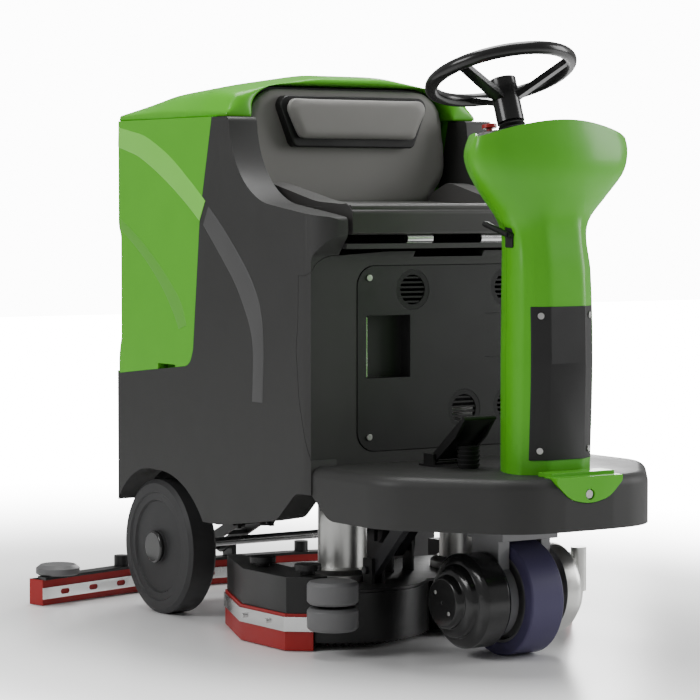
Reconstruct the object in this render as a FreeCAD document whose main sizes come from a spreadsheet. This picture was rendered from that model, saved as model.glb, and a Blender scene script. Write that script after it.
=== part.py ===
import FreeCAD, Part
import math
import os
import re
from types import SimpleNamespace

# Ride-on scrubber. Working frame: X across the machine, forward is -Y, +Z up, floor at Z 0.
# Everything is laid out from the rear axle, and each node's placement then moves it by
# origin_shift, which puts the middle of the machine's length at Y 0.

Vector = FreeCAD.Vector

doc = FreeCAD.newDocument("RideOnScrubber")
sheet = doc.addObject("Spreadsheet::Sheet", "Sizes")

SIZES = [
    ("wheelbase", 881, "rear axle to steering axis"),
    ("nose_reach", 246, "steering axis to the front of the platform"),
    ("tail_reach", 351.6, "rear axle to the back of the squeegee"),
    ("flap_proud", 2, "front flap beyond the platform"),
    ("body_half", 345, "half the width of the moulded body"),
    ("body_front", 650, "rear axle to the front face of the body"),
    ("body_rear", 149, "rear axle to the back face of the body"),
    ("body_bottom", 228, "lowest edge of the body"),
    ("body_top", 1098, "top of the body and of the recovery tank"),
    ("side_tank", 70, "thickness of the double side walls that hold the clean water"),
    ("skin", 8, "wall of the moulded covers"),
    ("bay_floor", 345, "underside of the battery floor"),
    ("rear_wheel_radius", 150, "rear wheel"),
    ("rear_wheel_width", 70, "rear wheel"),
    ("wheel_tuck", 14, "body side to the outer face of the rear wheel"),
    ("arch_gap", 26, "rear wheel to its arch"),
    ("axle_radius", 10, "rear axle"),
    ("running_fit", 0.06, "radial clearance of a wheel or pin"),
    ("drive_radius", 117.4, "drive tyre"),
    ("drive_width", 80, "drive tyre"),
    ("tyre_depth", 26, "thickness of the drive tyre"),
    ("motor_radius", 96, "traction motor flange"),
    ("spindle_radius", 15, "drive wheel spindle"),
    ("ring_radius", 95, "slewing ring, outside"),
    ("ring_height", 14, "slewing ring"),
    ("frame_level", 290, "underside of the chassis rails"),
    ("rail_width", 40, "chassis rail"),
    ("rail_height", 54.7, "chassis rail"),
    ("platform_top", 380, "standing surface"),
    ("platform_height", 105, "depth of the platform moulding"),
    ("platform_half", 337, "half the width of the platform"),
    ("fascia_top", 817, "top of the front fascia"),
    ("panel_half", 227, "half the width of the access panel"),
    ("panel_low", 405, "bottom edge of the access panel"),
    ("panel_high", 786, "top edge of the access panel"),
    ("panel_thick", 6, "access panel"),
    ("vent_radius", 42, "round vents"),
    ("seat_front", 686, "rear axle to the front face of the seat"),
    ("seat_low", 851, "underside of the seat"),
    ("seat_level", 915, "front edge of the sitting surface"),
    ("hinge_level", 842, "seat hinge"),
    ("back_face", 254, "rear axle to the back of the backrest pad"),
    ("pad_thick", 20, "backrest pad"),
    ("column_reach", 174, "steering axis to the front facet of the column"),
    ("column_half", 90, "half the width of the column"),
    ("rim_radius", 143.4, "steering wheel, to the middle of the rim"),
    ("grip_radius", 13.5, "steering wheel rim"),
    ("rim_level", 1175.3, "steering wheel centre"),
    ("rim_setback", 47.6, "steering axis back to the steering wheel centre"),
    ("rim_tilt", 19.6, "tilt of the steering shaft towards the driver"),
    ("dash_tilt", 9.5, "tilt of the dash towards the driver"),
    ("deck_middle", 490, "rear axle to the brush axes"),
    ("brush_offset", 178, "machine centre to a brush axis"),
    ("brush_radius", 174, "scrubbing brush"),
    ("skirt_radius", 199, "round skirt over a brush"),
    ("deck_level", 118, "underside of the deck plate"),
    ("blade_half", 376, "machine centre to the outer face of the deck blades"),
    ("floor_gap", 1.5, "floor to the lip of a blade"),
    ("roller_radius", 52.5, "deck bumper rollers"),
    ("squeegee_half", 506, "half the width of the squeegee"),
    ("blade_height", 60, "squeegee blade"),
    ("clearance", 0.3, "gap between pieces that move past each other"),
]

for row, (alias, number, note) in enumerate(SIZES, 1):
    sheet.set(f"A{row}", alias)
    sheet.set(f"B{row}", str(number))
    sheet.set(f"C{row}", note)
    sheet.setAlias(f"B{row}", alias)
doc.recompute()

S = SimpleNamespace(**{alias: float(sheet.get(alias)) for alias, number, note in SIZES})
ALIASES = {alias for alias, number, note in SIZES}
ORIGIN_SHIFT = "(wheelbase + nose_reach + flap_proud - tail_reach) / 2"
SHORT = {"x": "Placement.Base.x", "y": "Placement.Base.y", "z": "Placement.Base.z"}
NODES = []


# ---------------------------------------------------------------- helpers

def cells(text):
    """An expression with each size's name replaced by its spreadsheet cell."""
    return re.sub(r"[a-z_]+", lambda m: "Sizes." + m[0] if m[0] in ALIASES else m[0], str(text))


def bind(obj, **sizes):
    for name, text in sizes.items():
        obj.setExpression(SHORT.get(name, name), cells(text))
    return obj


def box(length, width, height, x, y, z):
    """A block with its low corner at x, y, z."""
    block = doc.addObject("Part::Box", "Block")
    return bind(block, Length=length, Width=width, Height=height, x=x, y=y, z=z)


def slab(half, width, height, y, z):
    """A block centred on X 0."""
    return box(f"2 * ({half})", width, height, f"-({half})", y, z)


TURNS = {"X": (Vector(0, 1, 0), 90), "Y": (Vector(1, 0, 0), -90), "Z": (Vector(0, 0, 1), 0)}


def rod(radius, length, x, y, z, along="Z"):
    """A cylinder that starts at x, y, z and runs along one axis."""
    bar = doc.addObject("Part::Cylinder", "Rod")
    bar.Placement = FreeCAD.Placement(Vector(), FreeCAD.Rotation(*TURNS[along]))
    return bind(bar, Radius=radius, Height=length, x=x, y=y, z=z)


def cone(low, high, length, x, y, z, along="Z"):
    piece = doc.addObject("Part::Cone", "Cone")
    piece.Placement = FreeCAD.Placement(Vector(), FreeCAD.Rotation(*TURNS[along]))
    return bind(piece, Radius1=low, Radius2=high, Height=length, x=x, y=y, z=z)


def fuse(*pieces):
    whole = doc.addObject("Part::MultiFuse", "Fusion")
    whole.Shapes = list(pieces)
    whole.Refine = True
    return whole


def group(*pieces):
    """Separate solids kept in one sub-part, as identical fasteners are."""
    whole = doc.addObject("Part::Compound", "Group")
    whole.Links = list(pieces)
    return whole


def cut(base, *tools):
    taken = doc.addObject("Part::Cut", "Cut")
    taken.Base = base
    taken.Tool = tools[0] if len(tools) == 1 else fuse(*tools)
    return taken


def solid(shape):
    """A sub-part whose shape is worked out with Part's own functions."""
    piece = doc.addObject("Part::Feature", "Solid")
    piece.Shape = Part.makeCompound(shape.Solids)
    return piece


def node(piece, label, y="0", **place):
    """Names a finished sub-part and moves it to the shared origin."""
    piece.Label = label
    bind(piece, y=f"{y} + {ORIGIN_SHIFT}", **place)
    NODES.append(piece)
    return piece


def turned(profile):
    """A PartDesign body revolved about X: profile holds (along X, radius) corners."""
    body = doc.addObject("PartDesign::Body", "Turned")
    plane = [f for f in body.Origin.OriginFeatures if f.Role == "XY_Plane"][0]
    sketch = body.newObject("Sketcher::SketchObject", "Profile")
    sketch.AttachmentSupport = [(plane, "")]
    sketch.MapMode = "FlatFace"
    spots = [(evaluate(along), evaluate(radius)) for along, radius in profile]
    count = len(spots)
    for i in range(count):
        start = Vector(*spots[i], 0)
        end = Vector(*spots[(i + 1) % count], 0)
        sketch.addGeometry(Part.LineSegment(start, end), False)
    for i in range(count):
        sketch.addConstraint(constraint("Coincident", i, 2, (i + 1) % count, 1))
    for i, (along, radius) in enumerate(profile):
        for kind, text, value in (("DistanceX", along, spots[i][0]), ("DistanceY", radius, spots[i][1])):
            index = sketch.addConstraint(constraint(kind, -1, 1, i, 1, value))
            sketch.setExpression(f"Constraints[{index}]", cells(text))
    revolve = body.newObject("PartDesign::Revolution", "Revolve")
    revolve.Profile = sketch
    revolve.ReferenceAxis = (sketch, ["H_Axis"])
    revolve.Angle = 360
    return body


def constraint(*parts):
    import Sketcher
    return Sketcher.Constraint(*parts)


def evaluate(text):
    return float(sheet.evalExpression(cells(text).replace("Sizes.", "")))


def rounded(corners, place):
    """A closed wire through (a, b, radius) corners, each one an arc of its own radius."""
    ends = []
    edges = []
    count = len(corners)
    for i, (a, b, radius) in enumerate(corners):
        here = Vector(a, b, 0)
        before = Vector(*corners[i - 1][:2], 0)
        after = Vector(*corners[(i + 1) % count][:2], 0)
        u = (before - here).normalize()
        v = (after - here).normalize()
        if radius == 0:
            ends.append((here, here))
            continue
        half = u.getAngle(v) / 2
        reach = radius / math.tan(half)
        middle = here + (u + v).normalize() * (radius / math.sin(half) - radius)
        enter = here + u * reach
        leave = here + v * reach
        edges.append((i, Part.Arc(place(*enter[:2]), place(*middle[:2]), place(*leave[:2])).toShape()))
        ends.append((enter, leave))
    arcs = dict(edges)
    ring = []
    for i in range(count):
        if i in arcs:
            ring.append(arcs[i])
        start = ends[i][1]
        stop = ends[(i + 1) % count][0]
        if (stop - start).Length > 1e-6:
            ring.append(Part.makeLine(place(*start[:2]), place(*stop[:2])))
    return Part.Wire(ring)


def side_prism(corners, x_low, x_high):
    """Extrudes (y, z, radius) corners across X."""
    wire = rounded(corners, lambda y, z: Vector(x_low, y, z))
    return Part.Face(wire).extrude(Vector(x_high - x_low, 0, 0))


def front_prism(corners, y_low, y_high):
    """Extrudes (x, z, radius) corners along Y."""
    wire = rounded(corners, lambda x, z: Vector(x, y_low, z))
    return Part.Face(wire).extrude(Vector(0, y_high - y_low, 0))


def plan_prism(corners, z_low, z_high):
    """Extrudes (x, y, radius) corners up Z."""
    wire = rounded(corners, lambda x, y: Vector(x, y, z_low))
    return Part.Face(wire).extrude(Vector(0, 0, z_high - z_low))


def mirrored(corners):
    """Right-hand (x, y, radius) corners, with x over 0, closed by their mirror image."""
    return corners + [(-x, y, radius) for x, y, radius in reversed(corners)]


def block(x0, x1, y0, y1, z0, z1):
    return Part.makeBox(x1 - x0, y1 - y0, z1 - z0, Vector(x0, y0, z0))


def vertical(shape, x_min=0, y_max=1e9):
    """The shape's long upright edges that lie outside x_min and in front of y_max."""
    found = []
    for edge in shape.Edges:
        first, last = edge.Vertexes[0].Point, edge.Vertexes[-1].Point
        upright = math.hypot(first.x - last.x, first.y - last.y) < 1e-3 and abs(first.z - last.z) > 20
        if upright and abs(first.x) > x_min and first.y < y_max:
            found.append(edge)
    return found


# ---------------------------------------------------------------- moulded body

BAY = S.body_half - S.side_tank
STEER_Y = -S.wheelbase
WALL_FRONT = -S.seat_front - 2
SEAM = [(-608, 677), (-601, 616), (-612, 514), (-634, 434), (-660, 365), (-668, 300)]
PLATFORM_BACK = -S.body_front + 42


def body_block():
    """The outside of body and fascia together, before they are parted."""
    low = S.body_bottom
    top = S.body_top
    back = S.body_rear
    face = -S.body_front
    corners = [
        (face, low + 94, 0),
        (face + 50, low + 94, 40),
        (face + 122, low + 34, 45),
        (face + 215, low + 18, 60),
        (face + 355, low, 40),
        (back, low, 0),
        (back, top, 0),
        (-338, top, 12),
        (-352, 932, 190),
        (face + 8, 893, 10),
        (WALL_FRONT, 886, 12),
        (WALL_FRONT, 850, 20),
        (face, 805, 30),
    ]
    return side_prism(corners, -S.body_half, S.body_half)


def round_front(shape):
    """Rounds the body's two upright front corners in plan."""
    corner = 62
    half = S.body_half
    outline = plan_prism(mirrored([
        (half, WALL_FRONT, corner),
        (half, S.body_rear + 40, 30),
    ]), 0, S.body_top + 200)
    return shape.common(outline)


def fascia_region(gap):
    """Everything ahead of the side seam and under the front arch."""
    side = [(y - gap, z) for y, z in SEAM]
    ring = [(-900, 300, 0)] + [(y, z, 0) for y, z in reversed(side)]
    ring += [(side[0][0] - 4, 900, 0), (-900, 900, 0)]
    seam = side_prism(ring, -S.body_half - 50, S.body_half + 50)
    half = S.body_half + 50
    arch = front_prism([
        (-half, 250, 0), (half, 250, 0), (half, 690 - gap, 0),
        (S.body_half - 25, S.fascia_top - 10 - gap, 60), (150, S.fascia_top - gap, 200),
        (-150, S.fascia_top - gap, 200), (-S.body_half + 25, S.fascia_top - 10 - gap, 60),
        (-half, 690 - gap, 0),
    ], -900, -500)
    lower = block(-BAY - 2, BAY + 2, -900, -S.body_front + 6, 200, 480)
    return seam.common(arch).fuse(lower)


def tank_outline(inset=0):
    """Side view of the recovery tank: a slanted front seam and a stepped back."""
    top = S.body_top + 1
    back = S.body_rear
    return [
        (-268 + inset, top, 0),
        (-218 + inset, 890, 60),
        (-187 + inset, 598, 30),
        (-172 + inset, 563 + inset, 34),
        (back - inset, 531 + inset, 8),
        (back - inset, 556, 20),
        (back - 18 - inset, 613, 30),
        (back - 18 - inset, 843, 30),
        (back + 18 - inset, 903, 30),
        (back + 18 - inset, 1050, 20),
        (back + 2 - inset, top, 0),
    ]


def main_body():
    shape = round_front(body_block())
    shape = shape.cut(fascia_region(0))
    shape = shape.cut(block(-BAY - 2, BAY + 2, -900, PLATFORM_BACK + S.clearance, 0, S.platform_top + S.clearance))
    shape = shape.cut(block(-BAY, BAY, WALL_FRONT - 40, -214, S.bay_floor + S.skin, S.body_top + 50))
    shape = shape.cut(block(-BAY, BAY, WALL_FRONT - 40, S.body_rear - S.skin, 0, S.bay_floor))
    shape = shape.cut(side_prism(tank_outline(-0.4), -S.body_half - 40, S.body_half + 40))
    shape = shape.cut(block(-400, 400, S.body_rear - 30, S.body_rear + 200, 540, S.body_top + 50))
    arch = S.rear_wheel_radius + S.arch_gap
    for sign in (-1, 1):
        side = Part.makeCylinder(234, 200, Vector(-100, -37, 91), Vector(1, 0, 0))
        side.translate(Vector(sign * (S.body_half + 2), 0, 0))
        well = Part.makeCylinder(arch, 200, Vector(-100, 0, S.rear_wheel_radius), Vector(1, 0, 0))
        well.translate(Vector(sign * S.body_half, 0, 0))
        shape = shape.cut(side).cut(well)
        water = block(BAY + 12, S.body_half - 12, -560, -300, 330, 850)
        water = water.fuse(Part.makeCylinder(15, 60, Vector(BAY + 30, -400, 290), Vector(0, 0, 1)))
        if sign < 0:
            water = water.mirror(Vector(), Vector(1, 0, 0))
        shape = shape.cut(water)
    beam = block(-BAY, BAY, -S.seat_front + 2, -S.body_front + 10, S.fascia_top + 5, S.hinge_level - 9.5)
    shelf = block(-BAY, BAY, -214, S.body_rear - S.skin, S.bay_floor, S.bay_floor + S.skin)
    shape = shape.fuse([beam, shelf]).removeSplitter()
    cavity = block(-BAY, BAY, -200, S.body_rear - 40, S.bay_floor + S.skin, 515)
    return shape.cut(cavity).removeSplitter()


def platform_plan(inset):
    """Plan of the platform: widest beside the steering axis, with a blunt rounded nose."""
    half = S.platform_half - inset
    nose = STEER_Y - S.nose_reach + inset
    return mirrored([
        (half, PLATFORM_BACK, 0),
        (half, nose + 234, 150),
        (half - 179, nose + 10, 140),
        (60, nose, 100),
    ])


def flap_prism(grow, y0, y1):
    """The green tongue that closes the platform's nose, with a round lower edge."""
    half = 82 + grow
    top = S.platform_top + 2
    low = S.platform_top - 49 - grow
    return front_prism([
        (half, top, 0), (half, top - 12, 14), (half * 0.6, low + 8, 60), (0, low - 4, 110),
        (-half * 0.6, low + 8, 60), (-half, top - 12, 14), (-half, top, 0),
    ], y0, y1)


def front_base():
    """Fascia and platform, moulded in one, open underneath."""
    fascia = round_front(body_block()).common(fascia_region(1))
    inner = S.body_half - S.skin - 2
    hollow = plan_prism(mirrored([(inner, -S.body_front + S.skin + 2, 50), (inner, -300, 0)]), 200, 950)
    fascia = fascia.cut(hollow)
    gate = block(-260, 260, -S.body_front - 5, -S.body_front + 20, 300, S.platform_top - S.skin)
    low = S.platform_top - S.platform_height
    step = plan_prism(platform_plan(0), low, S.platform_top)
    rim = [e for e in step.Edges if e.BoundBox.ZMin > S.platform_top - 1 and e.BoundBox.YMin < -S.body_front - 5]
    step = step.makeFillet(22, rim)
    under = plan_prism(platform_plan(S.skin + 2), low - 1, S.platform_top - S.skin)
    step = step.cut(under)
    sweep = side_prism([
        (-560, low - 30, 0), (-560, low + 120, 0), (-S.body_front + 2, low + 46, 30),
        (-S.body_front - 60, low, 60), (-S.body_front - 180, low, 0), (-S.body_front - 180, low - 30, 0),
    ], -400, 400)
    wings = round_front(body_block()).cut(fascia_region(1)).cut(block(-BAY - 1.7, BAY + 1.7, -900, 300, 0, 1200))
    shape = fascia.cut(gate).fuse(step.cut(sweep).cut(wings)).removeSplitter()
    window = front_prism(panel_corners(-12), -S.body_front - 1, -S.body_front + 40)
    pocket = front_prism(panel_corners(1.5), -S.body_front - 1, -S.body_front + S.panel_thick - 1.2)
    slot = block(-88, 88, WALL_FRONT - 10, -S.body_front + 40, S.fascia_top - 13, S.fascia_top + 20)
    flap = flap_prism(1.2, STEER_Y - S.nose_reach - 20, STEER_Y - S.nose_reach + 40)
    return shape.cut(window).cut(pocket).cut(slot).cut(flap)


def panel_corners(grow):
    half = S.panel_half + grow
    low = S.panel_low - grow
    high = S.panel_high + grow
    corner = 42
    return [(-half, low, corner), (half, low, corner), (half, high, corner), (-half, high, corner)]


VENTS = [(-90, 736), (153, 738), (42, 483), (160, 487)]
PULL = (-206, -96, 555, 684)


def access_panel():
    """Hinged-out service panel with four vent holes, a pull recess and a document tray."""
    face = -S.body_front - 1.5
    shape = front_prism(panel_corners(0), face, face + S.panel_thick)
    x0, x1, z0, z1 = PULL
    cup = block(x0 - 4, x1 + 4, face + 1, face + 40, z0 - 4, z1 + 4)
    shape = shape.fuse(cup)
    shape = shape.cut(block(x0, x1, face - 5, face + 36, z0, z1))
    for x, z in VENTS:
        hole = Part.makeCylinder(S.vent_radius, 40, Vector(x, face - 5, z), Vector(0, 1, 0))
        shape = shape.cut(hole)
    tray = block(96, 206, face - 3, face + 3, 590, 684)
    return shape.cut(tray).removeSplitter()


def panel_vents():
    """Louvred inserts: a ring with six slanted bars."""
    face = -S.body_front - 1.5
    rings = []
    for x, z in VENTS:
        ring = Part.makeCylinder(S.vent_radius - 0.2, 5.2, Vector(x, face + 0.5, z), Vector(0, 1, 0))
        hole = Part.makeCylinder(S.vent_radius - 11, 20, Vector(x, face - 5, z), Vector(0, 1, 0))
        ring = ring.cut(hole)
        for i in range(6):
            level = z - 25 + 10 * i
            reach = math.sqrt((S.vent_radius - 9) ** 2 - (level - z) ** 2)
            ring = ring.fuse(block(x - reach, x + reach, face + 2, face + 5.7, level - 2, level + 2))
        rings.append(ring.removeSplitter())
    return Part.makeCompound(rings)


def recovery_tank():
    """Dirty-water tank: an open tub, recessed in front for the backrest."""
    wide = S.body_half
    shape = side_prism(tank_outline(), -wide, wide)
    shape = shape.common(plan_prism(mirrored([(wide, -400, 0), (wide, S.body_rear + 18, 34)]), 500, 1200))
    shape = shape.cut(block(-BAY - 3, BAY + 3, -400, -219, 400, 1200))
    inside = plan_prism(mirrored([(wide - 10, -168, 20), (wide - 10, S.body_rear - 30, 30)]), 580, 1200)
    for sign in (-1, 1):
        grip = block(-20, 20, -110, -35, 500, 562)
        grip.translate(Vector(sign * (wide - 6), 0, 0))
        shape = shape.cut(grip)
    return shape.cut(inside).removeSplitter()


def lid_section(y, half, side, shoulder, crown):
    """Cross-section of the lid at one station: flat below, domed above."""
    base = S.body_top + 1.3
    right = [(half, base), (half, base + side), (half - 30, base + shoulder * 0.8),
             (half - 95, base + shoulder), (90, base + crown * 0.97)]
    ring = right + [(-x, z) for x, z in reversed(right)]
    return Part.makePolygon([Vector(x, y, z) for x, z in ring + ring[:1]])


def tank_lid():
    """Hinged cover of the recovery tank, arched over the top of the backrest."""
    wide = S.body_half - 3
    rear = S.body_rear + 7
    outer = Part.makeLoft([
        lid_section(rear, wide - 8, 6, 16, 18),
        lid_section(rear - 14, wide - 2, 12, 26, 30),
        lid_section(-40, wide, 16, 62, 84),
        lid_section(-216, wide - 2, 12, 74, 100),
        lid_section(-300, wide - 16, 6, 64, 92),
    ], True, True)
    inner = Part.makeLoft([
        lid_section(rear - 12, wide - 14, 1, 8, 10),
        lid_section(-40, wide - 10, 8, 52, 74),
        lid_section(-206, wide - 12, 6, 64, 90),
    ], True, True)
    inner.translate(Vector(0, 0, -2))
    shape = outer.cut(inner)
    for x in (-190, 70):
        barrel = Part.makeCylinder(4.5, 120, Vector(x, S.body_rear + 8, S.body_top + 6), Vector(1, 0, 0))
        shape = shape.fuse(barrel)
    return shape.cut(front_prism(back_corners(5), -330, -213)).removeSplitter()


def back_corners(grow):
    """Front view of the backrest: round shoulders over a narrower foot."""
    return [
        (-215 + grow / 2, 905, 50), (215 - grow / 2, 905, 50), (270 + grow, 975, 90),
        (254 + grow, 1165 + grow, 78), (-254 - grow, 1165 + grow, 78), (-270 - grow, 975, 90),
    ]


def head_corners(grow, drop=0):
    return [
        (-152 - grow, 1052 - drop, 16), (152 + grow, 1052 - drop, 16),
        (197 + grow, 1142 + grow, 22), (-197 - grow, 1142 + grow, 22),
    ]


def seat_deck():
    """Moulded seat: raised bolsters beside a dished middle."""
    half = BAY - 13
    front = -S.seat_front
    low = S.seat_low
    middle = side_prism([
        (front, low, 6), (-290, low, 0), (-290, S.seat_level + 4, 0),
        (front + 110, S.seat_level - 8, 150), (front + 22, S.seat_level, 12), (front, S.seat_level - 18, 10),
    ], -half, half)
    bolster = side_prism([
        (front + 6, low, 4), (-290, low, 0), (-290, S.seat_level + 20, 20), (-345, S.seat_level + 44, 14),
        (-372, S.seat_level + 42, 14), (-545, S.seat_level + 4, 260), (front + 6, S.seat_level - 4, 6),
    ], -half, half)
    slope = front_prism([
        (-half, low - 5, 0), (half, low - 5, 0), (half - 4, 1000, 0), (half - 34, 1000, 0),
        (half - 60, S.seat_level - 2, 0), (-half + 60, S.seat_level - 2, 0), (-half + 34, 1000, 0),
        (-half + 4, 1000, 0),
    ], front - 10, -250)
    bolster = bolster.common(slope)
    under = block(-half + 12, half - 12, front + 14, -300, low - 1, low + 26)
    return middle.fuse(bolster).cut(under).removeSplitter()


node(solid(main_body()), "main_body")
node(solid(front_base()), "front_base")
node(solid(access_panel()), "access_panel")
node(solid(panel_vents()), "panel_vents")
node(solid(recovery_tank()), "recovery_tank")
node(solid(tank_lid()), "tank_lid")
node(solid(seat_deck()), "seat_deck")
shell_back = -S.back_face + 0.3
node(solid(front_prism(back_corners(4), shell_back, -219.3)), "backrest_shell")
node(solid(front_prism(back_corners(0), -S.back_face - S.pad_thick, -S.back_face)), "backrest_pad")
head_back = -S.back_face - S.pad_thick - 0.3
node(solid(front_prism(head_corners(5, 16), head_back - 28, head_back)), "headrest_shell")
node(solid(front_prism(head_corners(0), head_back - 44, head_back - 28.3)), "headrest_pad")


# ---------------------------------------------------------------- steering column

def column_ring(z, half, front, back, flare, inset):
    """Plan of the column at one height: three facets ahead, a rounded back."""
    facet = S.column_half * 0.48
    y0 = STEER_Y - front + inset
    y1 = STEER_Y - back - inset
    wide = half - inset
    edge = min(wide - 12, S.column_half * 0.78 * wide / (S.column_half - inset))
    right = [(facet, y0), (edge, y0 + 17 + flare * 0.3), (wide, y0 + 34 + flare),
             (wide - flare * 0.2, y0 + 80 + flare * 0.6), (wide * 0.62, y1 - 22), (wide * 0.25, y1)]
    ring = right + [(-x, y) for x, y in reversed(right)]
    return Part.makePolygon([Vector(x, y, z) for x, y in ring + ring[:1]])


COLUMN = [
    (380, 90, 170, 2, 0), (600, 91, 176, 2, 0), (780, 88, 172, 2, 0), (850, 86, 160, 0, 0),
    (885, 100, 158, -6, 4), (930, 142, 168, -22, 12), (975, 180, 180, -34, 18), (1012, 192, 184, -42, 22),
    (1045, 188, 180, -46, 22), (1066, 172, 168, -46, 20),
]


def column_skin(inset):
    stations = []
    for z, half, front, back, flare in COLUMN:
        wide = half * S.column_half / 90
        reach = front - 174 + S.column_reach
        stations.append(column_ring(z, wide, reach, back, flare, inset))
    return Part.makeLoft(stations, True, True)


def dash_plane(offset):
    """A big block that lies above the tilted dash."""
    cutter = Part.makeBox(600, 600, 300, Vector(-300, -300, 0))
    cutter.rotate(Vector(), Vector(1, 0, 0), -S.dash_tilt)
    cutter.translate(Vector(0, STEER_Y - 60, DASH_LEVEL + offset))
    return cutter


DASH_LEVEL = 1058
COLUMN_SEAM = STEER_Y - 84
LEVER_Y = STEER_Y - 108


def column_covers():
    """Front and rear halves of the column, with a ledge inside the top for the dash."""
    low = block(-400, 400, STEER_Y - 400, STEER_Y + 400, 300, DASH_LEVEL - 2)
    hollow = column_skin(6).cut(dash_plane(-14)).common(low)
    recess = column_skin(6).common(dash_plane(-6.3))
    throat = column_skin(16).common(block(-400, 400, STEER_Y - 140, STEER_Y + 400, 900, 1200))
    shell = column_skin(0).cut(dash_plane(2)).cut(hollow).cut(recess).cut(throat)
    ahead = block(-400, 400, STEER_Y - 400, COLUMN_SEAM, 300, 1200)
    behind = block(-400, 400, COLUMN_SEAM + S.clearance, STEER_Y + 400, 300, 1200)
    shell = shell.cut(block(-60, 60, STEER_Y - 140, STEER_Y - 20, 370, 390))
    slot = block(-S.column_half - 30, -S.column_half + 30, LEVER_Y - 7, COLUMN_SEAM + 10, 824, 872)
    top = Part.makeCylinder(40, 80, Vector(0, 0, 0), Vector(0, 0, 1))
    top.rotate(Vector(), Vector(1, 0, 0), -S.rim_tilt)
    top.translate(Vector(0, STEER_Y + 6, 1010))
    shell = shell.cut(slot).cut(top)
    pocket = block(-76.4, 76.4, STEER_Y - 200, COLUMN_SEAM - 20, 408.6, 712.4).cut(column_skin(3.3))
    boss = block(-S.column_half + 6, -S.column_half + 22, LEVER_Y - 24, LEVER_Y + 12, 840, 866)
    pivot = Part.makeCylinder(5.05, 80, Vector(-S.column_half - 20, LEVER_Y, 853), Vector(1, 0, 0))
    front = shell.common(ahead).cut(pocket).fuse(boss).cut(pivot)
    return front.removeSplitter(), shell.common(behind).removeSplitter()


def column_panel():
    """Black service plate that follows the column's three front facets."""
    band = block(-76, 76, STEER_Y - 220, COLUMN_SEAM - 22, 409, 712)
    plate = column_skin(-3).common(band)
    return plate.cut(column_skin(3)).removeSplitter()


def base_flap():
    nose = STEER_Y - S.nose_reach
    tongue = flap_prism(0, nose - S.flap_proud, nose + 39)
    apron = block(-78, 78, nose + 20, STEER_Y - S.column_reach - 8, S.platform_top + 0.3, S.platform_top + 9)
    shape = tongue.fuse(apron)
    hole = Part.makeCylinder(11, 10, Vector(0, nose - 6, S.platform_top - 33), Vector(0, 1, 0))
    return shape.cut(hole).removeSplitter()


front_cover, rear_cover = column_covers()
node(solid(front_cover), "column_front_cover")
node(solid(rear_cover), "column_rear_cover")
node(solid(column_panel()), "column_panel")
node(solid(base_flap()), "base_flap")


def dash_panel():
    """Control plate on top of the column, inside the green covers."""
    plate = column_skin(6.3).common(dash_plane(-6)).cut(dash_plane(0))
    hub = Part.makeCylinder(11.06, 120, Vector(0, 0, -60), Vector(0, 0, 1))
    hub.rotate(Vector(), Vector(1, 0, 0), -S.rim_tilt)
    hub.translate(SHAFT_AT_DASH)
    for x, back, radius in ((-92, 20, 6.3), (60, -38, 8.3)):
        hole = Part.makeCylinder(radius, 60, Vector(0, 0, -30), Vector(0, 0, 1))
        hole.rotate(Vector(), Vector(1, 0, 0), -S.dash_tilt)
        slope = math.tan(math.radians(S.dash_tilt))
        hole.translate(Vector(x, STEER_Y - 60 + back, DASH_LEVEL - back * slope))
        hub = hub.fuse(hole)
    return plate.cut(hub)


def along_shaft(distance):
    """A point on the steering shaft, measured down from the steering wheel centre."""
    tilt = math.radians(S.rim_tilt)
    y = STEER_Y + S.rim_setback - distance * math.sin(tilt)
    return Vector(0, y, S.rim_level - distance * math.cos(tilt))


def tilted(shape, origin):
    shape.rotate(Vector(), Vector(1, 0, 0), -S.rim_tilt)
    shape.translate(origin)
    return shape


SHAFT_AT_DASH = along_shaft(132)


def steering_boot():
    """Rubber gaiter of three folds round the shaft."""
    low, high, folds = 12, 36, 3
    pitch = 30 / folds
    profile = [Vector(16, 0, -10), Vector(32, 0, -10)]
    for i in range(folds):
        profile.append(Vector(low + 12, 0, i * pitch))
        profile.append(Vector(high - 4 - 2 * i, 0, (i + 0.5) * pitch))
    profile.append(Vector(low + 12, 0, folds * pitch))
    profile.append(Vector(16, 0, folds * pitch))
    profile.append(profile[0])
    boot = Part.Face(Part.makePolygon(profile)).revolve(Vector(), Vector(0, 0, 1), 360)
    return tilted(boot, along_shaft(136)).common(dash_plane(0.1))


def steering_wheel():
    """Rim, three dished spokes and a long hub."""
    rim = Part.makeTorus(S.rim_radius, S.grip_radius)
    hub = Part.makeCylinder(28, 92, Vector(0, 0, -104), Vector(0, 0, 1))
    shape = rim.fuse(hub)
    for degrees in (80, 200, 320):
        blade = Part.Face(Part.makePolygon([
            Vector(18, -13, -62), Vector(S.rim_radius, -10, -6), Vector(S.rim_radius, 10, -6),
            Vector(18, 13, -62), Vector(18, -13, -62)])).extrude(Vector(0, 0, 13))
        blade.rotate(Vector(), Vector(0, 0, 1), degrees)
        shape = shape.fuse(blade)
    bore = Part.makeCylinder(11.06, 60, Vector(0, 0, -105), Vector(0, 0, 1))
    return tilted(shape.removeSplitter().cut(bore), along_shaft(0))


node(solid(dash_panel()), "dash_panel")
node(solid(steering_boot()), "steering_boot")
node(solid(steering_wheel()), "steering_wheel")
shaft = tilted(Part.makeCylinder(11, 240, Vector(0, 0, -286), Vector(0, 0, 1)), along_shaft(0))
node(solid(shaft), "steering_shaft")


# Controls stand on the dash, square to it.
DASH_TURN = FreeCAD.Rotation(Vector(1, 0, 0), -S.dash_tilt)


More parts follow.
